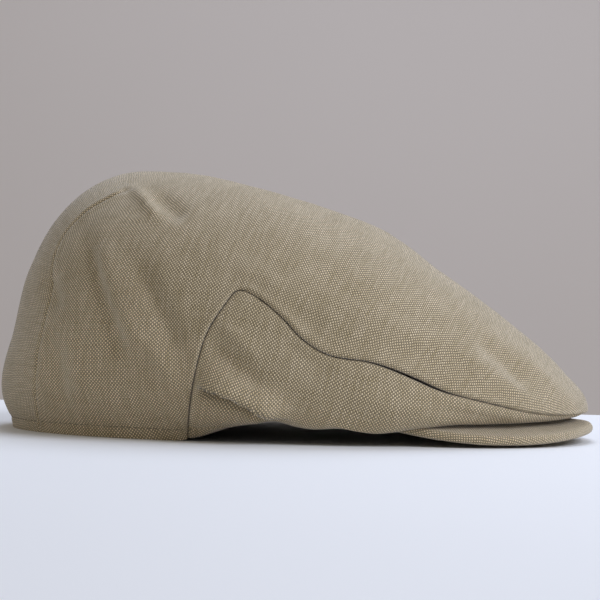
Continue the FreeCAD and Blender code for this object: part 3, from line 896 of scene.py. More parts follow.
# ---------------------------------------------------------------- crown
@dataclass
class Crown:
    """The crown: a one-piece top panel with two back darts, and two side panels."""

    form: CrownForm
    seam: SideSeam
    linen: bpy.types.Material
    cloth: float = 0.7
    rows: int = 165              # mesh rows from the back hem to the nose
    columns: int = 128           # mesh rows across the top panel
    side_rows: int = 118
    side_columns: int = 58
    top_length: float = 250.0    # sizes of the panels, which only space the rows of their meshes
    side_length: float = 190.0
    side_height: float = 70.0
    seam_depth: float = 0.95     # how far the stitches sink a seam
    seam_roll: float = 0.42      # how far the top panel's edge rolls up beside it
    nose_x: float = 119.0        # station of the top panel's two front corners
    turn_up: float = 7.0         # hem allowance turned inside
    dart: tuple = ((-1.0, 146.2), (-0.5, 145.0), (0.0, 143.0), (0.14, 142.6), (0.3, 145.6), (0.42, 147.4),
                   (0.52, 144.0), (0.6, 137.0), (0.65, 131.0))

    top_folds: tuple = (
        Fold(((-100, 94), (-94, 80), (-89, 66), (-83, 52), (-78, 38), (-74, 28)), 3.4, -2.8),
        Fold(((-90, 88), (-84, 72), (-79, 60)), 5.0, 1.26),
        Fold(((-74, 80), (-66, 67), (-60, 56), (-54, 45), (-50, 35)), 4.0, -2.52),
        Fold(((-80, 60), (-71, 45.5), (-60, 35), (-53, 22)), 3.6, 1.96),
        Fold(((-115, 72), (-112, 64), (-109, 56)), 4.2, -2.24),
        Fold(((-104, 50), (-98, 34), (-95, 16)), 5.0, 1.4),
        Fold(((-108, 40), (-106, 26), (-104, 10)), 4.0, -1.26),
        Fold(((-78, 113), (-71, 106), (-64, 97)), 2.6, 1.68),
        Fold(((-68, 110), (-60, 104), (-52, 98)), 4.0, -2.24),
        Fold(((-8, 60), (2, 54), (12, 50)), 4.6, -1.46),
        Fold(((-30, 76), (-18, 73), (-6, 66)), 5.0, 1.04),
        Fold(((20, 56), (40, 50), (58, 42)), 7.0, 1.04),
        Fold(((34, 45), (50, 41), (64, 34)), 4.5, -0.94),
        Fold(((78, 50), (91, 39), (106, 26)), 4.4, -1.77),
        Fold(((72, 42), (86, 32), (106, 18.5)), 4.2, 1.25),
        Fold(((98, 44), (110, 33), (122, 22)), 4.0, 1.04),
        Fold(((-96, 92), (-90, 76), (-86, 60), (-84, 40)), 4.2, -2.52, Side.LEFT),
        Fold(((-70, 76), (-62, 60), (-56, 44), (-50, 30)), 4.4, -2.24, Side.LEFT),
        Fold(((-82, 66), (-74, 50), (-66, 34)), 4.2, 1.82, Side.LEFT),
        Fold(((-112, 66), (-109, 52), (-106, 30)), 4.4, -1.68, Side.LEFT),
        Fold(((-76, 110), (-66, 103), (-56, 96)), 3.4, -1.68, Side.LEFT),
        Fold(((-4, 62), (10, 54), (26, 50)), 5.0, -1.25, Side.LEFT),
        Fold(((30, 52), (50, 43), (70, 34)), 5.4, 1.04, Side.LEFT),
        Fold(((76, 46), (92, 36), (108, 22)), 4.6, -1.66, Side.LEFT),
    )
    side_folds: tuple = (
        Fold(((-40, 27), (-30, 25), (-18, 20), (-6, 16)), 4.4, 2.4),
        Fold(((-40, 46), (-31, 39), (-22, 31), (-14, 25)), 4.0, -2.16),
        Fold(((-36, 53), (-27, 46), (-17, 37)), 3.6, 1.2),
        Fold(((-8, 48), (4, 39), (16, 30)), 5.0, -0.84),
        Fold(((20, 26), (40, 22), (60, 16)), 5.0, 1.2),
        Fold(((60, 17), (80, 13), (98, 11)), 3.0, -0.96),
        Fold(((-40, 28), (-26, 24), (-10, 17)), 4.6, 2.16, Side.LEFT),
        Fold(((-38, 50), (-26, 38), (-14, 28)), 4.4, -1.92, Side.LEFT),
        Fold(((0, 42), (16, 33), (34, 24)), 5.0, -0.96, Side.LEFT),
        Fold(((30, 27), (50, 20), (72, 14)), 4.6, 1.08, Side.LEFT),
    )

    tuck: Tuck = Tuck(((-47, 22.5), (-40, 24.6), (-31, 23.8), (-20, 18.8), (-10, 13.6), (0, 10.5)))
    sag: float = 5.0             # how far the side hangs down beside the brim's rear ends
    sag_start: tuple[float, float] = (-12.0, 30.0)     # stations between which it grows
    sag_end: tuple[float, float] = (34.0, 74.0)        # stations between which it fades
    sag_top: tuple[float, float] = (14.0, 40.0)        # heights between which it fades
    brim_bend: tuple[float, float] = (82.0, 88.0)      # where the cloth bends down over the brim's edge
    bend_depth: float = 6.0      # how far it may bend down there

    def __post_init__(self) -> None:
        """Trace the seams and darts."""
        self.seam_rows = self.seam.trace()
        points = self.form.point(self.seam_rows[:, 0], self.seam_rows[:, 1])
        self.seam_line = even_line(points, 700)
        self.apex = int(np.argmax(points[:130, 2]))
        heights = np.linspace(self.dart[0][0], self.dart[-1][0], 60)
        angles = np.radians(key_curve(self.dart, heights))
        self.dart_rows = np.stack([angles, heights], axis=1)
        self.dart_line = even_line(self.form.point(angles, heights), 500)

    def other_side(self, rows: Array) -> Array:
        """The same (angle, height) rows or points on the wearer's right."""
        mirrored = rows.copy()
        if rows.shape[1] == 2:
            mirrored[:, 0] *= -1.0
        else:
            mirrored[:, 1] *= -1.0
        return mirrored

    def top_patch(self) -> Patch:
        """Layout of the top panel, along from the back hem to the nose and across from right to left."""
        points = self.form.point(self.seam_rows[:, 0], self.seam_rows[:, 1])
        corner = int(np.argmin(np.abs(points[:, 0] - self.nose_x)))
        leg, nose = self.seam_rows[:corner + 1], self.seam_rows[corner:]
        right_nose = self.other_side(nose)
        front = np.vstack([right_nose, nose[-2::-1]])
        start = self.seam_rows[0, 0]
        angles = np.linspace(-start, start - math.tau, 200)
        back = np.stack([angles, np.full(200, -1.0)], axis=1)
        return Patch(EdgeCurve(self.form, back), EdgeCurve(self.form, front),
                     EdgeCurve(self.form, self.other_side(leg)), EdgeCurve(self.form, leg))

    def side_patch(self) -> Patch:
        """Layout of the right side panel, along from the back to the nose and across upwards."""
        rows = self.other_side(self.seam_rows)
        opening = np.linspace(rows[0, 0], 0.0, 160)
        bottom = np.stack([opening, np.full(160, -1.0)], axis=1)
        middle = np.stack([np.zeros(40), np.linspace(-1.0, rows[-1, 1], 40)], axis=1)
        return Patch(EdgeCurve(self.form, rows[:self.apex + 1]), EdgeCurve(self.form, middle),
                     EdgeCurve(self.form, bottom), EdgeCurve(self.form, rows[self.apex:]))

    def hem_rows(self, points: Array, outwards: Array) -> Array:
        """Rows of a hem turned up inside, ahead of the cloth's first row.

        Args:
            points: the cloth's points, its first row on the hem.
            outwards: directions out of the cap along that row.

        Returns:
            The rows, from the raw edge down to the hem.
        """
        depth = self.cloth * 1.25
        rise = unit(points[2] - points[0])
        inwards = unit(-outwards - rise * (-outwards * rise).sum(axis=1, keepdims=True))
        turns = [(depth, self.turn_up), (depth, self.turn_up * 0.5), (depth, 1.6), (depth * 0.94, 0.6),
                 (depth * 0.5, 0.12)]
        return np.stack([points[0] + inwards * out + rise * up for out, up in turns])

    def top_panel_points(self, rows: int, columns: int, depth: float) -> tuple[Array, int, int, int]:
        """Points of the top panel, with columns of the grid along its darts.

        Args:
            rows: even rows along.
            columns: even columns across.
            depth: how far inside the crown's outside the cloth lies.

        Returns:
            The points, the columns of the right and the left dart and the row of the darts' tips.
        """
        patch = self.top_patch()
        shares, guess = [], (0.0, 0.16)
        for place in to_disc(*self.other_side(self.dart_rows).T):
            guess = patch.find(place, guess)
            shares.append(guess)
        shares = np.array(shares)
        hem_share = shares[0, 1]
        along = closer_rows(edge_shares(rows, self.top_length), shares[-1, 0], self.top_length)
        across = edge_shares(columns, patch.start.length)
        for place in (hem_share, 1.0 - hem_share):
            across = closer_rows(across, place, patch.start.length)
        dart_share = np.interp(along, shares[:, 0], shares[:, 1])
        dart_share = mix(dart_share, hem_share, smooth_step(along, shares[-1, 0] + 0.1, 1.0))
        even = [0.0, hem_share, 1.0 - hem_share, 1.0]
        warped = np.stack([np.interp(across, even, [0.0, share, 1.0 - share, 1.0]) for share in dart_share])
        disc = patch.disc(np.repeat(along[:, None], len(across), axis=1), warped)
        points = self.form.disc_point(disc).reshape(len(along), len(across), 3)
        cloth = Cloth("layout", points)
        if depth:
            cloth.raise_by(np.full(points.shape[:2], -depth))
        right, left = (int(np.argmin(np.abs(across - place))) for place in (hem_share, 1.0 - hem_share))
        return cloth.points, right, left, int(np.argmin(np.abs(along - shares[-1, 0])))

    def dart_rise(self, points: Array) -> Array:
        """Relief of the two sewn darts and the small pucker at each tip."""
        rise = np.zeros(len(points))
        for line in (self.dart_line, self.other_side(self.dart_line)):
            distance, passed = near_line(points, line)
            depth = mix(0.45, 1.15, smooth_step(passed, 0.76, 0.88)) * (1.0 - smooth_step(passed, 0.96, 1.0))
            rise += -depth * hump(distance, 0.62)
            rise += 0.3 * depth * hump(distance, 1.3, 2.2)
            tip = np.linalg.norm(points - line[-1], axis=1)
            rise += 0.45 * hump(tip, 3.0, 4.0) - 0.35 * hump(tip, 2.4)
        return rise

    def drape(self, points: Array, folds: Sequence[Fold], seed: float) -> Array:
        """Folds and the small unevenness that no sewn cap is without."""
        rise = sum(fold.rise(points) for fold in folds)
        rise += 0.32 * unevenness(points, 26.0, seed) + 0.14 * unevenness(points, 9.0, seed + 3.0)
        rise += 0.05 * unevenness(points, 3.4, seed + 7.0)
        return rise

    def pucker(self, points: Array, line: Array, reach: float, seed: float) -> tuple[Array, Array]:
        """Distance from a seam, and the small gathers that its stitches draw up beside it."""
        distance, _ = near_line(points, line)
        gathers = unevenness(points, 5.0, seed) * hump(distance, reach)
        return distance, gathers

    def hem_groove(self, above_hem: Array) -> Array:
        """How deep the hem's stitches draw the cloth in, at a distance above the hem."""
        return 0.55 * hump(above_hem, 0.85, Stitching.hem_height)

    def make_top(self) -> bpy.types.Object:
        """The top panel, rolled over its seams, with its hem turned up."""
        points, right, left, tip = self.top_panel_points(self.rows, self.columns, 0.0)
        flat = points.reshape(-1, 3)
        line = np.vstack([self.seam_line, self.other_side(self.seam_line)[::-1]])
        distance, gathers = self.pucker(flat, line, 5.0, 11.0)
        rise = self.drape(flat, self.top_folds, 1.0) * smooth_step(distance, 0.0, 9.0) + self.dart_rise(flat)
        rise += 0.22 * gathers
        rise += self.seam_roll * hump(distance, 1.1, 1.5) - self.seam_depth * hump(distance, 0.5)
        above_hem = np.linalg.norm(points - points[:1], axis=-1).ravel()
        rise *= smooth_step(above_hem, 0.0, 5.0) * 0.9 + 0.1
        rise -= self.hem_groove(above_hem)
        cloth = Cloth("top_panel_cloth", points, even_rounds=8)
        cloth.raise_by(rise)
        hem = self.hem_rows(cloth.points, cloth.normals()[0])
        cloth.points = np.vstack([hem, cloth.points])
        cloth.cut_seams = [(0, tip + len(hem), right), (0, tip + len(hem), left)]
        self.top_surface = cloth.points[len(hem):]
        piece = cloth.build(self.cloth)
        finish_cloth(piece, "top_panel", self.linen)
        return piece

    def hollows(self, points: Array, folds: Sequence[Fold]) -> Array:
        """How far the valleys of the folds press in whatever lies under them."""
        return np.minimum(sum(fold.rise(points) for fold in folds), 0.0)

    def hang(self, points: Array, inside: float = 0.0) -> Array:
        """Let the lower part of a side hang down, lie on the brim and bend over its outer edge.

        Args:
            points: the points.
            inside: how far they lie inside the outermost cloth.

        Returns:
            The moved points.
        """
        x, width, z = points[:, 0], np.abs(points[:, 1]), points[:, 2]
        hung = points.copy()
        hung[:, 2] -= (self.sag * smooth_step(x, *self.sag_start) * (1.0 - smooth_step(x, *self.sag_end))
                       * (1.0 - smooth_step(z, *self.sag_top)))
        bend = self.bend_depth * smooth_step(width, *self.brim_bend)
        floor = self.form.brim_top_z(x, points[:, 1]) + 0.1 + inside - bend
        hung[:, 2] += smooth_step(x, 5.0, 25.0) * np.maximum(floor - hung[:, 2], 0.0)
        return hung

    def make_side(self, side: Side) -> bpy.types.Object:
        """One side panel, drawn in under the top panel's edge, with its hem turned up.

        Args:
            side: the side of the cap.

        Returns:
            The panel's object.
        """
        patch = self.side_patch()
        along = edge_shares(self.side_rows, self.side_length)
        across = edge_shares(self.side_columns, self.side_height, at_start=False)
        disc = patch.disc(*np.meshgrid(along, across, indexing="ij"))
        points = self.form.disc_point(disc).reshape(len(along), len(across), 3)
        points[..., 1] *= -side.value
        flat = points.reshape(-1, 3)
        line = self.seam_line if side is Side.LEFT else self.other_side(self.seam_line)
        distance, gathers = self.pucker(flat, line, 6.0, 17.0)
        rise = self.drape(flat, self.side_folds, 5.0) * smooth_step(distance, 0.0, 7.0) + 0.2 * gathers
        rise -= self.seam_depth * hump(distance, 0.55) + 0.5 * hump(distance, 2.6)
        above_hem = np.linalg.norm(points - points[:, :1], axis=-1).ravel()
        rise -= self.hem_groove(above_hem) * (1.0 - smooth_step(flat[:, 0], -20.0, 10.0))
        brim = self.form.brim_top_z(flat[:, 0], flat[:, 1])
        on_brim = (1.0 - smooth_step(flat[:, 2] - brim, 0.6, 4.0)) * smooth_step(flat[:, 0], 5.0, 25.0)
        rise = np.where(on_brim > 0, rise * (1.0 - on_brim), rise)
        middle = smooth_step(np.abs(flat[:, 1]), 0.0, 6.0)
        rise *= mix(0.2, 1.0, middle)
        cloth = Cloth(f"side_panel_{side.name.lower()}_cloth", points, even_rounds=30)
        outwards = -1.0 if side is Side.LEFT else 1.0
        cloth.raise_by(outwards * rise)
        spots, away = cloth.points.reshape(-1, 3), outwards * cloth.normals().reshape(-1, 3)
        held = smooth_step(distance, 0.0, 5.0)[:, None]
        cloth.points = self.hang(spots + held * self.tuck.shift(spots, away)).reshape(points.shape)
        turned = np.swapaxes(cloth.points, 0, 1)
        hem = self.hem_rows(turned, outwards * cloth.normals()[:, 0])
        cloth.points = np.swapaxes(np.vstack([hem, turned]), 0, 1)
        piece = cloth.build(self.cloth, flip=side is Side.LEFT)
        finish_cloth(piece, f"side_panel_{side.name.lower()}", self.linen)
        return piece


# ---------------------------------------------------------------- lining and sweatband
@dataclass
class Lining:
    """The lining: the crown's pattern again in thin cotton, inside it."""

    crown: Crown
    cotton: bpy.types.Material
    depth: float = 1.75          # how far it lies inside the crown's outside
    cloth: float = 0.35
    most_slack: float = 0.4      # how far it may come out towards the crown
    rows: int = 70
    columns: int = 60

    def wrinkle(self, points: Array, line: Array, seed: float) -> Array:
        """Slack of the lining, held only along its seams."""
        distance, _ = near_line(points, line)
        slack = 0.9 * unevenness(points, 24.0, seed) + 0.4 * unevenness(points, 9.0, seed + 2.0) - 0.6
        return slack * smooth_step(distance, 0.0, 14.0) * smooth_step(points[:, 2], 24.0, 50.0)

    def make_top(self) -> bpy.types.Object:
        """The lining's top panel."""
        points = self.crown.top_panel_points(self.rows, self.columns, self.depth)[0]
        line = np.vstack([self.crown.seam_line, self.crown.other_side(self.crown.seam_line)])
        cloth = Cloth("lining_top_cloth", points)
        flat = points.reshape(-1, 3)
        rise = self.wrinkle(flat, line, 31.0)
        for dart in (self.crown.dart_line, self.crown.other_side(self.crown.dart_line)):
            distance, _ = near_line(flat, dart)
            rise += 0.7 * hump(distance, 1.2, 1.6)
        cloth.raise_by(np.minimum(rise, self.most_slack) + self.crown.hollows(flat, self.crown.top_folds))
        piece = cloth.build(self.cloth)
        finish_cloth(piece, "lining_top", self.cotton)
        return piece

    def make_side(self, side: Side) -> bpy.types.Object:
        """One side panel of the lining."""
        patch = self.crown.side_patch()
        along, across = np.linspace(0, 1, 70), np.linspace(0, 1, 34)
        disc = patch.disc(*np.meshgrid(along, across, indexing="ij"))
        points = self.crown.form.disc_point(disc).reshape(len(along), len(across), 3)
        points[..., 1] *= -side.value
        outwards = -1.0 if side is Side.LEFT else 1.0
        cloth = Cloth(f"lining_side_{side.name.lower()}_cloth", points)
        cloth.raise_by(np.full(points.shape[:2], -self.depth * outwards))
        line = self.crown.seam_line if side is Side.LEFT else self.crown.other_side(self.crown.seam_line)
        flat = cloth.points.reshape(-1, 3)
        rise = np.minimum(self.wrinkle(flat, line, 37.0), self.most_slack)
        rise += self.crown.hollows(flat, self.crown.side_folds)
        cloth.raise_by(outwards * rise)
        spots, away = cloth.points.reshape(-1, 3), outwards * cloth.normals().reshape(-1, 3)
        pressed = replace(self.crown.tuck, out=0.0, drop=0.0, hollow=self.crown.tuck.hollow + 1.0)
        cloth.points = self.crown.hang(spots + pressed.shift(spots, away), self.depth).reshape(points.shape)
        piece = cloth.build(self.cloth, flip=side is Side.LEFT)
        finish_cloth(piece, f"lining_side_{side.name.lower()}", self.cotton)
        return piece


@dataclass
class Sweatband:
    """The ribbon round the head opening, lapped over itself at the back."""

    form: CrownForm
    ribbon: bpy.types.Material
    low_z: float = 1.0
    height: float = 32.0
    thickness: float = 0.8
    edge: float = 1.6            # width of the woven edge on both sides of the ribs
    lap: float = 4.0             # degrees of the ring that lie double at the back
    rows: int = 230
    columns: int = 20

    def lower_edge(self, x: Array) -> Array:
        """The ribbon's lower edge follows most of the hem's arch."""
        return (self.form.hem_z(x) + self.form.hem_trim) * 0.8 + self.low_z

    def at(self, angle: Array, up: Array, inside: Array) -> Array:
        """Points of the ribbon's outer face.

        Args:
            angle: ring angles in radians, from the front.
            up: height over its lower edge, in millimetres.
            inside: how far in from the outer face.

        Returns:
            The points.
        """
        x = self.form.opening_x + (self.form.opening_half_length - self.form.layers - inside) * np.cos(angle)
        y = (self.form.opening_half_width - self.form.layers - inside) * np.sin(angle)
        return np.stack([x, y, self.lower_edge(x) + up], axis=-1)

    def make(self) -> bpy.types.Object:
        """The ribbon as one strip."""
        half = math.pi + math.radians(self.lap)
        angle = np.linspace(half, -half, self.rows)[:, None]
        up = np.concatenate([[0.0, 0.35, self.edge, self.edge + 0.3],
                             np.linspace(self.edge + 2.0, self.height - self.edge - 2.0, self.columns),
                             self.height - np.array([self.edge + 0.3, self.edge, 0.35, 0.0])])[None, :]
        lapped = smooth_step(angle, math.pi - math.radians(3 * self.lap), math.pi - math.radians(self.lap))
        edge_relief = -0.12 * (np.abs(up - self.height / 2) > self.height / 2 - self.edge - 0.1)
        angle, up = np.broadcast_arrays(angle, up)
        wave = np.array([noise.noise(Vector((math.cos(a) * 4, math.sin(a) * 4, u / 14.0)))
                         for a, u in zip(angle.ravel(), up.ravel())]).reshape(up.shape)
        free_edge = smooth_step(up, self.height * 0.4, self.height)
        inside = 1.0 * lapped + 0.55 * free_edge * (wave + 0.6) + edge_relief + 0.15
        cloth = Cloth("sweatband_ribbon", self.at(angle, up, np.maximum(inside, 0.02)))
        piece = cloth.build(self.thickness)
        finish_cloth(piece, "sweatband", self.ribbon)
        return piece


# ---------------------------------------------------------------- brim
@dataclass
class Brim:
    """The brim's two covers, drawn over the board and joined under its edge."""

    form: CrownForm
    linen: bpy.types.Material
    board: bpy.types.Material
    tip_x: float = node_box("brim_top_cover")[1].x
    horn_length: float = 72.0
    seam_angle: float = -42.0    # where the covers are joined, round the edge from straight out
    cloth: float = 0.6
    rows: int = 190
    columns: int = 40
    horn_share: float = 0.985    # the covers stop just short of the horn's point

    def outline(self, turn: Array) -> Array:
        """The brim's outer edge in plan, by ellipse angle from the tip."""
        length = np.where(np.cos(turn) > 0, self.tip_x - self.form.brim_widest_x, self.horn_length)
        return np.stack([self.form.brim_widest_x + length * np.cos(turn),
                         self.form.brim_half_width * np.sin(turn)], axis=-1)

    def root_size(self) -> tuple[float, float]:
        """Half the length and half the width of the ring that the brim's inner edge lies on."""
        layers = self.form.layers
        return self.form.opening_half_length - layers, self.form.opening_half_width - layers

    def root(self, turn: Array) -> Array:
        """The brim's inner edge in plan, on the sweatband."""
        length, width = self.root_size()
        return np.stack([self.form.opening_x + length * np.cos(turn), width * np.sin(turn)], axis=-1)

    def horns(self) -> tuple[float, float]:
        """Angles on the outer and on the inner edge where they meet."""
        outer = np.linspace(math.radians(60), math.radians(170), 2000)
        plan = self.outline(outer)
        length, width = self.root_size()
        ahead, aside = (plan[:, 0] - self.form.opening_x) / length, plan[:, 1] / width
        meet = int(np.argmax(ahead ** 2 + aside ** 2 < 1.0))
        return float(outer[meet]), math.atan2(aside[meet], ahead[meet])

    def section(self, across: Array, height: Array) -> Array:
        """Points of the brim from plan offsets.

        Args:
            across: distance in from the outer edge for every row and column.
            height: distance above the middle of the thickness.

        Returns:
            The points.
        """
        outer_turn, root_turn = self.horns()
        share = np.linspace(-self.horn_share, self.horn_share, across.shape[0])
        outer, root = self.outline(share * outer_turn), self.root(share * root_turn)
        way = root - outer
        width = np.linalg.norm(way, axis=1)
        way /= width[:, None]
        plan = outer[:, None, :] + way[:, None, :] * across[..., None]
        middle = self.form.brim_middle_z(plan[..., 0], plan[..., 1])
        lean = np.stack([np.full(middle.shape, self.form.brim_fall), plan[..., 1] / self.form.brim_radius,
                         np.ones(middle.shape)], axis=-1)
        return np.concatenate([plan, middle[..., None]], axis=-1) + unit(lean) * height[..., None]

    def widths(self) -> Array:
        """Width of the brim at every row."""
        outer_turn, root_turn = self.horns()
        share = np.linspace(-self.horn_share, self.horn_share, self.rows)
        return np.linalg.norm(self.root(share * root_turn) - self.outline(share * outer_turn), axis=1)

    def make_cover(self, top: bool) -> bpy.types.Object:
        """One cover, from the sweatband to the seam under the brim's edge.

        Args:
            top: the top cover, which is drawn over the edge, or the one below.

        Returns:
            The cover's object.
        """
        width = self.widths()[:, None]
        half = np.minimum(self.form.brim_thickness / 2, 0.48 * width)
        if not top:
            half = half - 0.35 * np.minimum(half / 2.4, 1.0)
        reach = np.linspace(1.0, 0.0, self.columns)[None, :]
        flat = half + (width - half) * reach
        start, end = (90.0, self.seam_angle) if top else (self.seam_angle + 2.0, -90.0)
        turns = np.radians(np.linspace(start, end, 15 if top else 9))[None, :]
        if top:
            across = np.hstack([flat[:, :-1], half - half * np.cos(turns)])
            height = np.hstack([np.broadcast_to(half, flat[:, :-1].shape), half * np.sin(turns)])
        else:
            edge = self.form.brim_thickness / 2 - half
            across = np.hstack([edge + half - half * np.cos(turns), flat[:, -2::-1]])
            height = np.hstack([half * np.sin(turns), np.broadcast_to(-half, flat[:, :-1].shape)])
        points = self.section(across, height)
        name = "brim_top_cover" if top else "brim_under_cover"
        cloth = Cloth(f"{name}_cloth", points)
        spots = points.reshape(-1, 3)
        rise = 0.1 * unevenness(spots, 12.0, 41.0 if top else 43.0) + 0.04 * unevenness(spots, 4.0, 45.0)
        if top:
            seam = hump(np.arange(points.shape[1])[None, ::-1], 1.0) * np.ones((self.rows, 1))
            rise -= 0.25 * seam.ravel()
        cloth.raise_by(-rise.reshape(points.shape[:2]))
        piece = cloth.build(self.cloth, flip=True)
        finish_cloth(piece, name, self.linen)
        return piece

    def dress_board(self) -> None:
        """The board stays the CAD solid, in its own plastic."""
        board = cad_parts["brim_board"]
        board.data.materials.clear()
        board.data.materials.append(self.board)


# ---------------------------------------------------------------- stitches
@dataclass
class Stitching:
    """Rows of single stitches: short rounded bits of thread that dip into the cloth at both ends."""

    thread: bpy.types.Material
    hem_height: float = 5.6      # the hem's stitches above its lower edge
    length: float = 2.3
    pitch: float = 3.1
    radius: float = 0.2

    def stitch(self, mesh: bmesh.types.BMesh, middle: Array, along: Array, out: Array) -> None:
        """Add one stitch.

        Args:
            mesh: the mesh that it is added to.
            middle: its place, in millimetres.
            along: its direction.
            out: the direction away from the cloth.
        """
        along = unit(along)
        out = unit(out - along * float(out @ along))
        side = np.cross(out, along)
        place = Matrix([[*row, shift] for row, shift in zip(np.stack([along, side, out], axis=1), middle)]
                       + [[0, 0, 0, 1]])
        made = bmesh.ops.create_uvsphere(mesh, u_segments=6, v_segments=5, radius=1.0,
                                         matrix=Matrix.Rotation(math.pi / 2, 4, "Y"))
        size = Matrix.Diagonal((self.length / 2, self.radius, self.radius * 0.8, 1.0))
        bmesh.ops.transform(mesh, matrix=Matrix.Scale(MM, 4) @ place @ size, verts=made["verts"])

    def row(self, name: str, line: Array, outwards: Array, slot: str) -> bpy.types.Object:
        """A row of stitches along a line on the cloth.

        Args:
            name: name of the piece.
            line: samples of the line, in millimetres.
            outwards: directions away from the cloth at each sample.
            slot: not used.

        Returns:
            The object.
        """
        count = int(line_length(line) / self.pitch)
        both = even_line(np.hstack([line, outwards]), count)
        mesh = bmesh.new()
        for index in range(1, len(both) - 1):
            self.stitch(mesh, both[index, :3], both[index + 1, :3] - both[index - 1, :3], both[index, 3:])
        piece = new_object(name, mesh)
        piece.data.materials.append(self.thread)
        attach(piece, BODY)
        LOG.info("%s: %d stitches", name, len(both) - 2)
        return piece

    def hem_row(self, surface: Array) -> bpy.types.Object:
        """The stitches that hold the top panel's hem, read off the panel's own surface."""
        normals = Cloth("hem", surface).normals()
        height = np.linalg.norm(surface - surface[:1], axis=-1)
        line, outwards = [], []
        for column in range(surface.shape[1]):
            row = float(np.interp(self.hem_height, height[:, column], np.arange(surface.shape[0])))
            low, share = int(row), row % 1.0
            line.append(mix(surface[low, column], surface[low + 1, column], share))
            outwards.append(normals[low, column])
        line, outwards = np.array(line), np.array(outwards)
        return self.row("hem_stitches", line + outwards * 0.02, outwards, "linen_crown")

    def band_row(self, band: Sweatband, name: str, up: float) -> bpy.types.Object:
        """A row of stitches on the inside of the sweatband."""
        angle = np.linspace(math.pi * 0.995, -math.pi * 0.995, 500)
        inside = np.full(angle.shape, band.thickness + 0.2)
        line = band.at(angle, np.full(angle.shape, up), inside)
        centre = np.array([band.form.opening_x, 0.0, 0.0])
        outwards = centre - line
        outwards[:, 2] = 0.0
        return self.row(name, line, unit(outwards), "sweatband")


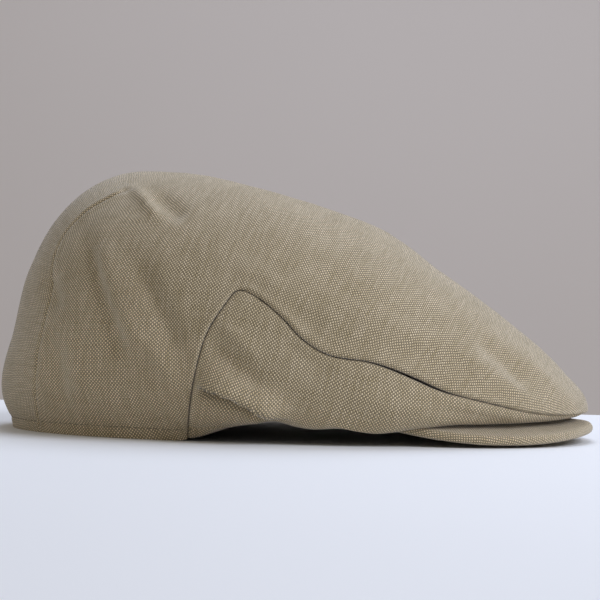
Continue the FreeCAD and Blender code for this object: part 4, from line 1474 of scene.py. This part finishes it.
# ---------------------------------------------------------------- studio
@dataclass
class Studio:
    """A pale table, a plain wall, soft light and the camera."""

    camera_distance: float = 1.0
    camera_height: float = 0.063
    lens: float = 126.0
    roll: float = 0.0257         # the camera is tilted a little, so level lines drop to the right
    table_edge: float = 0.236    # the table's far edge behind the middle of the cap
    wall: float = 1.6

    def make_table(self, paint: bpy.types.Material) -> None:
        """The table top, with a rounded far edge."""
        mesh = bmesh.new()
        half_width, front, depth = 2.5, 1.4, 0.03
        bmesh.ops.create_cube(mesh, size=1.0)
        bmesh.ops.scale(mesh, vec=(2 * half_width, front + self.table_edge, depth), verts=mesh.verts)
        bmesh.ops.translate(mesh, vec=(0.0, (self.table_edge - front) / 2, -depth / 2), verts=mesh.verts)
        bmesh.ops.bevel(mesh, geom=mesh.edges[:], offset=0.004, segments=4, profile=0.5, affect="EDGES",
                        material=-1)
        self.place("table", mesh, paint)

    def make_wall(self, paint: bpy.types.Material) -> None:
        """The wall behind the table."""
        mesh = bmesh.new()
        upright = Matrix.Rotation(math.pi / 2, 4, "X")
        bmesh.ops.create_grid(mesh, x_segments=2, y_segments=2, size=3.0, matrix=upright)
        bmesh.ops.translate(mesh, vec=(0.0, self.wall, 0.5), verts=mesh.verts)
        self.place("wall", mesh, paint)

    def place(self, name: str, mesh: bmesh.types.BMesh, paint: bpy.types.Material) -> None:
        """Make a stage object of a mesh."""
        piece = new_object(name, mesh, smooth=False)
        piece.data.materials.append(paint)

    def add_light(self, name: str, place: Sequence[float], size: float, power: float, colour: str) -> None:
        """A square soft light aimed at the cap.

        Args:
            name: name of the light.
            place: where it hangs, in metres.
            size: its side.
            power: its power in watts.
            colour: its colour as sRGB hex.
        """
        light = bpy.data.lights.new(name, "AREA")
        light.shape, light.size, light.energy = "SQUARE", size, power
        light.color = linear(colour)[:3]
        lamp = bpy.data.objects.new(name, light)
        lamp.location = place
        lamp.rotation_euler = (Vector((0.0, 0.0, 0.05)) - Vector(place)).to_track_quat("-Z", "Y").to_euler()
        bpy.context.collection.objects.link(lamp)

    def light_up(self) -> None:
        """Soft light from above and behind, filled from the front."""
        world = bpy.data.worlds.new("studio")
        world.use_nodes = True
        background = world.node_tree.nodes["Background"]
        background.inputs["Color"].default_value = linear("#ece8e3")
        background.inputs["Strength"].default_value = 0.42
        scene = bpy.context.scene
        scene.world = world
        scene.view_settings.view_transform = "Standard"
        self.add_light("key", (1.25, -0.45, 1.0), 0.9, 17.0, "#e6edff")
        self.add_light("top", (0.2, 0.75, 1.3), 1.0, 13.0, "#dbe7ff")

    def make_camera(self) -> None:
        """The camera, level with the middle of the cap's side."""
        camera = bpy.data.cameras.new("camera")
        camera.lens, camera.sensor_width = self.lens, 36.0
        camera.clip_end = 20.0
        holder = bpy.data.objects.new("camera", camera)
        holder.location = (0.0, -self.camera_distance, self.camera_height)
        turn = Matrix.Rotation(math.pi / 2, 4, "X") @ Matrix.Rotation(self.roll, 4, "Z")
        holder.rotation_euler = turn.to_euler()
        bpy.context.collection.objects.link(holder)
        bpy.context.scene.camera = holder


# ---------------------------------------------------------------- the whole cap
def main() -> None:
    """Build the cap's pieces in order, then the studio."""
    logging.basicConfig(level=logging.INFO, format="%(name)s: %(message)s")
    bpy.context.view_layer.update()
    # Linen: flax yarn spun with thick and thin places, so the surface is dry, matt and a little
    # uneven in tone, with a pepper-and-salt look where light warp crosses darker weft; the weft's darkness is
    # partly painted shade, and the gaps between threads hold painted shade.
    linen = PlainWeave("linen_plain_weave", light="#fbe6c0", dark="#d6c196").build()
    brim_linen = PlainWeave("linen_stretched_on_brim", light="#fbe6c0", dark="#d6c196", grain=45.0).build()
    # Cotton lining: fine and smooth, with a soft sheen from its calendered face.
    cotton = PlainWeave("cotton_lining", light="#80725f", dark="#65584a", pitch=0.5, slub_length=30.0,
                        contrast=0.05, shadow=0.6, relief=0.05, roughness=0.55, sheen=0.25, specular=0.4).build()
    # Grosgrain: a ribbed ribbon; every rib catches a line of light, which is also painted into its colour as a
    # lighter crest.
    ribbon = Grosgrain().build()
    # Polyethylene: waxy, cloudy and slightly rough from the mould.
    board = MouldedBoard().build()
    thread = SewingThread("polyester_thread", "#75694f").build()
    dark_thread = SewingThread("polyester_thread_dark", "#574e42").build()

    form = CrownForm()
    crown = Crown(form, SideSeam(form), linen)
    crown.make_top()
    for side in Side:
        crown.make_side(side)
    lining = Lining(crown, cotton)
    lining.make_top()
    for side in Side:
        lining.make_side(side)
    band = Sweatband(form, ribbon)
    band.make()
    brim = Brim(form, brim_linen, board)
    brim.make_cover(top=True)
    brim.make_cover(top=False)
    brim.dress_board()
    stitching = Stitching(thread)
    stitching.hem_row(crown.top_surface)
    dark_stitching = Stitching(dark_thread, length=2.6, pitch=3.6)
    dark_stitching.band_row(band, "sweatband_lower_stitches", 1.0)

    studio = Studio()
    studio.make_table(MattPaint("matt_white_table", "#f1f2f3").build())
    studio.make_wall(MattPaint("plain_wall", "#d8cfc9").build())
    studio.light_up()
    studio.make_camera()


if __name__ == "__main__":
    main()
